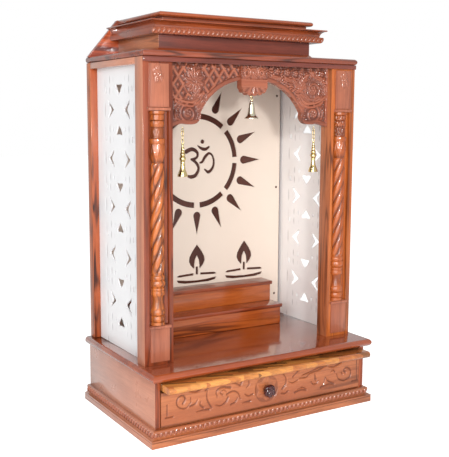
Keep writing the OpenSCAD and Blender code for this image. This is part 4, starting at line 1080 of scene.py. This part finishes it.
def shape_lines(value, x0, x1, z0, z1, cell):
    """Closed lines where a field crosses zero, walked over a square grid."""
    xs, zs = np.arange(x0, x1 + cell, cell), np.arange(z0, z1 + cell, cell)
    gx, gz = np.meshgrid(xs, zs, indexing="ij")
    field = value(gx, gz) + 1e-9
    links = {}

    def crossing(i, j, k, l):
        a, b = field[i, j], field[k, l]
        t = a / (a - b)
        return (i, j, k, l) if (i, j) < (k, l) else (k, l, i, j), (xs[i] + t * (xs[k] - xs[i]), zs[j] + t * (zs[l] - zs[j]))
    spots = {}
    for i in range(len(xs) - 1):
        for j in range(len(zs) - 1):
            ring = [(i, j), (i + 1, j), (i + 1, j + 1), (i, j + 1)]
            inside = [field[c] < 0 for c in ring]
            if all(inside) or not any(inside):
                continue
            cuts = []
            for n in range(4):
                m = (n + 1) % 4
                if inside[n] != inside[m]:
                    key, spot = crossing(*ring[n], *ring[m])
                    spots[key] = spot
                    cuts.append((key, inside[n]))
            starts = [c for c, was_in in cuts if was_in]
            ends = [c for c, was_in in cuts if not was_in]
            for a, b in zip(starts, ends):
                links[a] = b
    loops = []
    while links:
        here = next(iter(links))
        line = []
        while here in links:
            line.append(spots[here])
            here = links.pop(here)
        if len(line) > 8:
            loops.append(np.array(line))
    return loops


def brush(x, z, points, widths):
    """Signed distance to a brush stroke whose half width changes along its line."""
    best = np.full(np.shape(x), 1e9)
    for (a, wa), (b, wb) in zip(zip(points[:-1], widths[:-1]), zip(points[1:], widths[1:])):
        ax, az = a
        dx, dz = b[0] - ax, b[1] - az
        t = np.clip(((x - ax) * dx + (z - az) * dz) / (dx * dx + dz * dz), 0, 1)
        best = np.minimum(best, np.hypot(x - ax - t * dx, z - az - t * dz) - (wa + t * (wb - wa)))
    return best


def smooth_line(points, steps=10):
    """A Catmull-Rom curve through the points."""
    pts = np.array(points, float)
    ends = np.vstack([2 * pts[0] - pts[1], pts, 2 * pts[-1] - pts[-2]])
    out = []
    for k in range(len(pts) - 1):
        p0, p1, p2, p3 = ends[k:k + 4]
        for t in np.linspace(0, 1, steps, endpoint=False):
            out.append(0.5 * (2 * p1 + (p2 - p0) * t + (2 * p0 - 5 * p1 + 4 * p2 - p3) * t ** 2 + (3 * p1 - p0 - 3 * p2 + p3) * t ** 3))
    return np.array(out + [pts[-1]])


def cut_sign():
    """Outlines of the Om sign that is cut through the middle of the sun, in mm."""
    strokes = [
        ([(-31, 609), (-23, 613), (-14, 615), (-5, 612), (1, 606), (2, 599), (-2, 593), (-10, 590), (-17, 590)],
         [4.4, 4.3, 4.0, 3.7, 3.2, 2.9, 2.8, 2.8, 1.8]),
        ([(-16, 589), (-5, 583), (2, 575), (5, 566), (2, 557), (-5, 548), (-17, 545), (-29, 548)],
         [2.2, 3.1, 3.3, 3.2, 3.4, 4.0, 3.9, 2.0]),
        ([(9, 580), (16, 583), (22, 592), (28, 599), (36, 604), (44, 600), (48, 592), (50, 582), (48, 570), (42, 561), (33, 556), (23, 563)],
         [1.8, 3.0, 3.4, 3.3, 2.4, 2.2, 2.4, 2.5, 2.9, 3.2, 3.3, 1.8]),
        ([(2, 624), (9, 619), (18, 615), (27, 615), (35, 620)], [1.1, 2.6, 3.4, 3.3, 2.4]),
    ]
    lines = [(smooth_line(pts), np.interp(np.linspace(0, 1, (len(pts) - 1) * 10 + 1), np.linspace(0, 1, len(pts)), half))
             for pts, half in strokes]

    def field(x, z):
        value = np.hypot(x - 16, z - 634) - 5.6
        for pts, half in lines:
            value = np.minimum(value, brush(x, z, pts, 1.28 * half))
        return value
    return shape_lines(field, -42, 60, 536, 644, 0.9)


def flat_cut_board(name, loops, across, back, front, body, mat, replaces):
    """A board cut to flat outlines, first the outer one and then its holes. across places a point of the board."""
    flat = bpy.data.curves.new(name, "CURVE")
    flat.dimensions, flat.fill_mode = "2D", "BOTH"
    flat.extrude = (front - back) / 2 * MM
    flat.bevel_depth = 0.0
    for line in loops:
        spline = flat.splines.new("POLY")
        spline.points.add(len(line) - 1)
        for point, (u, v) in zip(spline.points, line):
            point.co = (u * MM, v * MM, 0, 1)
        spline.use_cyclic_u = True
    shape = bpy.data.objects.new(name, flat)
    bpy.context.scene.collection.objects.link(shape)
    mesh = bpy.data.meshes.new_from_object(shape.evaluated_get(bpy.context.evaluated_depsgraph_get()))
    bpy.data.objects.remove(shape)
    bpy.data.curves.remove(flat)
    mesh.transform(across)
    bm = bmesh.new()
    bm.from_mesh(mesh)
    bmesh.ops.remove_doubles(bm, verts=bm.verts, dist=1e-6)
    bmesh.ops.recalc_face_normals(bm, faces=bm.faces)
    bm.to_mesh(mesh)
    bm.free()
    piece = bpy.data.objects.new(name, mesh)
    mesh.name = name
    bpy.context.scene.collection.objects.link(piece)
    mesh.materials.clear()
    mesh.materials.append(mat)
    mesh.polygons.foreach_set("material_index", [0] * len(mesh.polygons))
    mesh.polygons.foreach_set("use_smooth", [True] * len(mesh.polygons))
    mesh.set_sharp_from_angle(angle=math.radians(30))
    return dress(piece, body, replaces)


def grown(line, reach):
    """A closed outline moved outwards by one reach, with its sharp tips kept sharp."""
    ahead = np.roll(line, -1, axis=0) - line
    length = np.maximum(np.hypot(*ahead.T), 1e-9)[:, None]
    hand = 1 if np.sum(line[:, 0] * np.roll(line[:, 1], -1) - np.roll(line[:, 0], -1) * line[:, 1]) > 0 else -1
    out = hand * np.stack([ahead[:, 1], -ahead[:, 0]], -1) / length
    pair = out + np.roll(out, 1, axis=0)
    share = np.maximum((pair ** 2).sum(1), 0.9)[:, None]
    return line + pair * 2 / share * reach


def sun_board():
    x0, x1, d0, d1, z0, z1 = box_mm("sun_panel")
    upright = Matrix.Translation((0, BACK - (d0 + d1) / 2 * MM, 0)) @ Matrix.Rotation(math.pi / 2, 4, "X")
    loops = front_loops("sun_panel")
    loops[0][:, 0] = np.clip(loops[0][:, 0], -256.5, 256.5)      # leaves a dark gap beside the lattice boards
    loops[1:] = [grown(loop, 1.7 if np.ptp(loop[:, 1]) > 12 else 1.0) for loop in loops[1:]]
    flat_cut_board("sun_board", loops + cut_sign(), upright, d0, d1, "cabinet", CREAM, ("sun_panel",))


# ---------------------------------------------------------------- white lattice boards

def pierced_board(name, outline, holes, cell, place, thick, ground, body, mat, replaces=(), smooth=40.0):
    """A board with holes whose two faces are both cut by ground(u, w). place(u, w, h) sets a point h mm up from its inner face."""
    lo, hi = outline.min(0), outline.max(0)
    nx, nz = (int(round(size / cell)) + 1 for size in hi - lo)
    grid = np.stack(np.meshgrid(np.linspace(lo[0], hi[0], nx), np.linspace(lo[1], hi[1], nz), indexing="ij"), -1).reshape(-1, 2)
    gap, foot = near_line(grid, outline)
    kept = np.ones(len(grid), bool)
    for hole in holes:
        away, nearest = near_line(grid, hole)
        closer = away < gap
        gap[closer], foot[closer] = away[closer], nearest[closer]
        kept &= ~inside_line(grid, hole)
    edge = gap < 0.55 * cell
    kept |= edge
    grid[edge] = foot[edge]
    index = np.arange(nx * nz).reshape(nx, nz)
    quads = np.stack([index[:-1, :-1], index[1:, :-1], index[1:, 1:], index[:-1, 1:]], -1).reshape(-1, 4)
    middles = grid[quads].mean(1)
    open_cell = np.zeros(len(quads), bool)
    for hole in holes:
        open_cell |= inside_line(middles, hole)
    quads = quads[kept[quads].all(1) & ~open_cell]
    used = np.unique(quads)
    renumber = np.full(nx * nz, -1)
    renumber[used] = np.arange(len(used))
    quads, grid = renumber[quads], grid[used]
    depth, share = ground(grid[:, 0], grid[:, 1])
    count = len(grid)
    verts = np.concatenate([np.stack(place(grid[:, 0], grid[:, 1], thick - depth), -1),
                            np.stack(place(grid[:, 0], grid[:, 1], depth), -1)])
    pairs = np.concatenate([quads[:, [0, 1]], quads[:, [1, 2]], quads[:, [2, 3]], quads[:, [3, 0]]])
    seen = {tuple(p) for p in pairs.tolist()}
    walls = [(b, a, a + count, b + count) for a, b in seen if (b, a) not in seen]
    faces = quads.tolist() + (quads[:, ::-1] + count).tolist() + walls
    bm = bmesh.new()
    layer = bm.verts.layers.float.new("relief")
    points = [bm.verts.new(v) for v in verts]
    for point, value in zip(points, np.concatenate([share, share])):
        point[layer] = value
    for face in faces:
        if len(set(face)) == len(face):
            bm.faces.new([points[i] for i in face])
    bmesh.ops.recalc_face_normals(bm, faces=bm.faces)
    data = bpy.data.meshes.new(name)
    bm.to_mesh(data)
    bm.free()
    data.materials.append(mat)
    data.polygons.foreach_set("use_smooth", [True] * len(data.polygons))
    data.set_sharp_from_angle(angle=math.radians(smooth))
    piece = bpy.data.objects.new(name, data)
    bpy.context.scene.collection.objects.link(piece)
    return dress(piece, body, replaces)


def wing_with_tongue(hole, reach=8.0):
    """The outline of a wing opening with a round tongue left standing in its wide side."""
    mid = (hole[:, 1].max() + hole[:, 1].min()) / 2
    off = np.abs(hole[:, 1] - mid)
    wide = hole[off > 0.6 * off.max(), 0].mean()
    narrow = hole[np.argmin(off), 0] if abs(hole[np.argmin(off), 0] - wide) > 8 else hole[np.argsort(off)[:4], 0].mean()
    rim = hole[:, 0].max() if wide > narrow else hole[:, 0].min()

    def field(u, w):
        points = np.stack([u.ravel(), w.ravel()], -1)
        away, _ = near_line(points, hole)
        signed = np.where(inside_line(points, hole), -away, away).reshape(u.shape)
        return np.maximum(signed, reach - np.hypot(u - rim, w - mid))
    lo, hi = hole.min(0) - 3, hole.max(0) + 3
    return shape_lines(field, lo[0], hi[0], lo[1], hi[1], 1.3)


LATTICE_THICK = 3.4


def lattice_board(node, side):
    """A jali: wing and kite openings in rows, with thin slots between them."""
    x0, x1, d0, d1, z0, z1 = box_mm(node)
    loops = [np.stack([BACK / MM - loop[:, 0], loop[:, 1]], -1) for loop in front_loops(node, (side, 0, 0))]
    holes = []
    for hole in loops[1:]:
        middle = (hole.max(0) + hole.min(0)) / 2
        wide = (hole - middle) * (1.35, 1.0) + middle
        holes += wing_with_tongue(wide) if np.ptp(hole[:, 1]) > 40 else [wide]
    mid_d, mid_z, pitch = (d0 + d1) / 2, (z0 + z1) / 2, 111.0

    def ground(u, w):
        across = np.abs(u - mid_d)
        up = w - mid_z
        from_row = np.abs(up - pitch * np.round(up / pitch))
        slots = np.zeros_like(u)
        for du, dw, half_w, half_h, deep in ((52, 43, 2.6, 11, 1.0), (32, 43, 2.4, 9, 0.6), (78, 55, 3.6, 24, 0.5), (78, 4, 3.2, 16, 0.8)):
            lens = ((across - du) / half_w) ** 2 + ((from_row - dw) / half_h) ** 2
            slots = np.maximum(slots, deep * np.clip(1.3 - lens, 0, 1))
        groove = np.abs(across - 104)
        slots = np.maximum(slots, 0.5 * np.clip(1.2 - groove / 1.6, 0, 1) * (np.abs(up) < 316))
        # The share paints a grey shade into the slots
        return slots, 1 - slots / 1.3

    def place(u, w, h):
        inner = abs(x0 if side < 0 else x1) - LATTICE_THICK
        return (np.full_like(u, 0) + side * (inner + h) * MM, BACK - u * MM, w * MM)
    # The right board takes the copy of the white paint that is painted lighter
    pierced_board(node + "_board", loops[0], holes, 2.4, place, LATTICE_THICK, ground, "cabinet",
                 WHITE if side < 0 else WHITE_PAINTED_LIT, (node,))


# ---------------------------------------------------------------- rose knob, post roses and screws

def rose_knob():
    x0, x1, d0, d1, z0, z1 = box_mm("drawer_knob")
    cx, cz, reach = (x0 + x1) / 2, (z0 + z1) / 2, (z1 - z0) / 2
    side = [(0, 0), (0.52, 0.0), (0.5, 0.22), (0.62, 0.32), (0.9, 0.44), (1.0, 0.6), (0.97, 0.74), (0.84, 0.86), (0.6, 0.94), (0.3, 0.98), (0, 1)]
    t = np.linspace(0, len(side) - 1, 61)
    r = np.interp(t, range(len(side)), [q[0] for q in side]) * reach
    h = np.interp(t, range(len(side)), [q[1] for q in side]) * (d1 - d0)
    around = np.linspace(0, 2 * np.pi, 73)[:-1]
    r, a = np.meshgrid(r[1:-1], around, indexing="ij")
    h = np.repeat(h[1:-1, None], len(around), axis=1)
    share = r / reach
    petal = np.abs(np.cos(2.5 * a + 5.0 * share))
    front = h > 0.5 * (d1 - d0)
    sink = np.where(front, 2.2 * (1 - petal) * np.clip(share * 1.6, 0, 1) + 0.8 * (0.5 + 0.5 * np.cos(share * 19)), 0)
    pull = np.where(h > 0.35 * (d1 - d0), 0.1 * (1 - petal), 0)
    r, h = r * (1 - pull), h - sink
    verts = np.stack([(cx + r * np.sin(a)) * MM, BACK - (d0 + h) * MM, (cz + r * np.cos(a)) * MM], -1).reshape(-1, 3).tolist()
    # Share for the painted shade: darker where the petals are sunk deeper
    low = np.where(front, 1 - sink / 3.0, 0.9).reshape(-1).tolist()
    rows, cols = r.shape
    faces = [(i * cols + j, i * cols + (j + 1) % cols, (i + 1) * cols + (j + 1) % cols, (i + 1) * cols + j)
             for i in range(rows - 1) for j in range(cols)]
    faces.append(tuple(range(cols))[::-1])
    verts.append((cx * MM, BACK - (d1 - 1.0) * MM, cz * MM))
    last = (rows - 1) * cols
    faces += [(last + j, last + (j + 1) % cols, len(verts) - 1) for j in range(cols)]
    put("rose_knob", verts, faces, "drawer", ROSE, ("drawer_knob",), 60, low + [0.5])


def post_roses():
    """A small rose with a leaf over and under it on each upper block."""
    for side, name in ((-1, "left_post_rose"), (1, "right_post_rose")):
        cx, cz, front, face = side * 249.0, 786.0, 311.9, 309.0
        a = np.linspace(0, 2 * np.pi, 65)[:-1]
        line = np.stack([cx + 14 * np.cos(a), cz + 21 * np.sin(a)], -1)

        def ground(x, z, gap):
            rise = np.zeros_like(x)
            for ax, az, bx, bz, half in ((0, 4, 3, 20, 5.5), (-3, -4, -6, -19, 5), (4, -3, 9, -15, 4), (-5, 4, -10, 13, 4)):
                rise = np.maximum(rise, leaf(x - cx, z - cz, (ax, az), (bx, bz), half, 2.2, 1.5))
            rise = np.maximum(rise, flower(x, z, cx, cz, 9.5, 5, 2.8, 0.4))
            rise = np.minimum(rise, 2.8)
            away = np.hypot(x - cx, (z - cz) * 0.7)
            # Share for the painted shade: darkest on the ground next to the flower, lighter away from it; the raised
            # leaves and flower take a painted highlight
            return front - face - 0.1 - rise, np.where(rise > 0.5, 0.6 + 0.4 * rise / 2.8, np.clip(0.25 + away / 16, 0, 0.8))
        carved_plate(name, line, 0.9, front, face - 1.0, ground, "cabinet", BLOCK_ROSE, (), 50)


def lathed(name, profile, cx, depth, foot, body, mat, replaces=(), around=36):
    """A hollow turned piece: profile is radius and height in mm, from its inner crown out over the lip to its tip."""
    rings = []
    for (r0, h0), (r1, h1) in zip(profile[:-1], profile[1:]):
        steps = max(1, int(math.hypot(r1 - r0, h1 - h0) / 0.8))
        rings += [(r0 + (r1 - r0) * k / steps, h0 + (h1 - h0) * k / steps) for k in range(steps)]
    rings = rings[1:]
    verts = []
    for r, h in rings:
        for k in range(around):
            a = 2 * math.pi * k / around
            verts.append(((cx + r * math.cos(a)) * MM, BACK - (depth - r * math.sin(a)) * MM, (foot + h) * MM))
    faces = [(i * around + k, i * around + (k + 1) % around, (i + 1) * around + (k + 1) % around, (i + 1) * around + k)
             for i in range(len(rings) - 1) for k in range(around)]
    for r, h, ring in ((profile[0][0], profile[0][1], 0), (profile[-1][0], profile[-1][1], len(rings) - 1)):
        verts.append((cx * MM, BACK - depth * MM, (foot + h) * MM))
        faces += [(ring * around + k, ring * around + (k + 1) % around, len(verts) - 1) for k in range(around)]
    bm = bmesh.new()
    points = [bm.verts.new(v) for v in verts]
    for face in faces:
        bm.faces.new([points[i] for i in face])
    bmesh.ops.recalc_face_normals(bm, faces=bm.faces)
    data = bpy.data.meshes.new(name)
    bm.to_mesh(data)
    bm.free()
    data.materials.append(mat)
    data.polygons.foreach_set("use_smooth", [True] * len(data.polygons))
    data.set_sharp_from_angle(angle=math.radians(50))
    piece = bpy.data.objects.new(name, data)
    bpy.context.scene.collection.objects.link(piece)
    return dress(piece, body, replaces)


SIDE_BELL = [(0, 27.0), (3.4, 26.5), (4.2, 20.0), (5.6, 13.0), (7.8, 7.0), (10.2, 2.4), (10.9, 0.3), (11.4, 0.6), (11.4, 2.2), (10.6, 3.6),
             (10.9, 4.6), (10.2, 5.8), (9.2, 8.0), (9.5, 9.0), (8.6, 10.4), (7.0, 14.0), (5.9, 18.0), (5.3, 23.0), (5.0, 28.5), (5.4, 32.0),
             (4.6, 34.0), (6.8, 36.5), (7.4, 39.5), (6.6, 42.5), (4.6, 44.5), (5.8, 46.5), (6.2, 48.5), (5.4, 50.5), (3.8, 52.0),
             (4.6, 54.0), (4.8, 55.5), (4.2, 57.2), (3.2, 58.5), (3.9, 60.4), (3.9, 62.0), (2.9, 63.6), (2.4, 66.0), (2.9, 67.6), (2.6, 69.4),
             (1.5, 71.0), (1.5, 72.4), (0, 72.6)]
MIDDLE_BELL = [(0, 36.0), (3.6, 35.4), (4.9, 31.0), (6.0, 22.0), (7.2, 14.0), (9.4, 7.6), (13.6, 2.6), (15.2, 0.3), (15.9, 0.6), (15.9, 2.2),
               (14.6, 3.6), (11.6, 6.0), (9.6, 8.8), (8.3, 13.0), (8.6, 14.0), (8.0, 15.2), (7.2, 22.0), (6.3, 30.0), (5.6, 34.0), (4.2, 37.0),
               (4.6, 38.2), (3.4, 39.6), (1.8, 40.6), (1.8, 42.2), (0, 42.6)]


def turned_bells():
    """The three bells: slender side bells with beads up a tall stem, and a plain flared one in the middle."""
    # The middle bell takes the brass that is painted whiter as a painted reflection
    for node, profile, mat in (("left_bell", SIDE_BELL, BRASS), ("right_bell", SIDE_BELL, BRASS), ("middle_bell", MIDDLE_BELL, BRASS_PAINTED_SHEEN)):
        x0, x1, d0, d1, z0, z1 = box_mm(node)
        lathed(node + "_turned", profile, (x0 + x1) / 2, (d0 + d1) / 2, z0, BODY[node], mat, (node,))


def screws():
    """Countersunk screw heads down the right edge of the sun panel."""
    x0, x1, d0, d1, z0, z1 = box_mm("sun_panel")
    verts, faces = pebble((3.4, 1.0, 3.4), around=14)
    for k, (x, z) in enumerate(SCREWS):
        moved = [Vector((x * MM, BACK - d1 * MM, z * MM)) + v for v in verts]
        put(f"panel_screw_{k + 1}", moved, faces, "cabinet", STEEL, (), 50)


SCREWS = [(245.6, 752.9), (246.3, 508.7), (244.4, 215.1)]

lattice_board("left_jali", -1)
lattice_board("right_jali", 1)
rose_knob()
post_roses()
screws()
carved_arch()
carved_drawer()
half_column("left_column", "left_turned_column")
half_column("right_column", "right_turned_column")
ropes()
sun_board()

turned_bells()
for node in ("bell_eyes", "left_bell_chain", "left_clapper", "right_bell_chain", "right_clapper", "middle_clapper"):
    NODES[node].data.materials.clear()
    NODES[node].data.materials.append(BRASS)
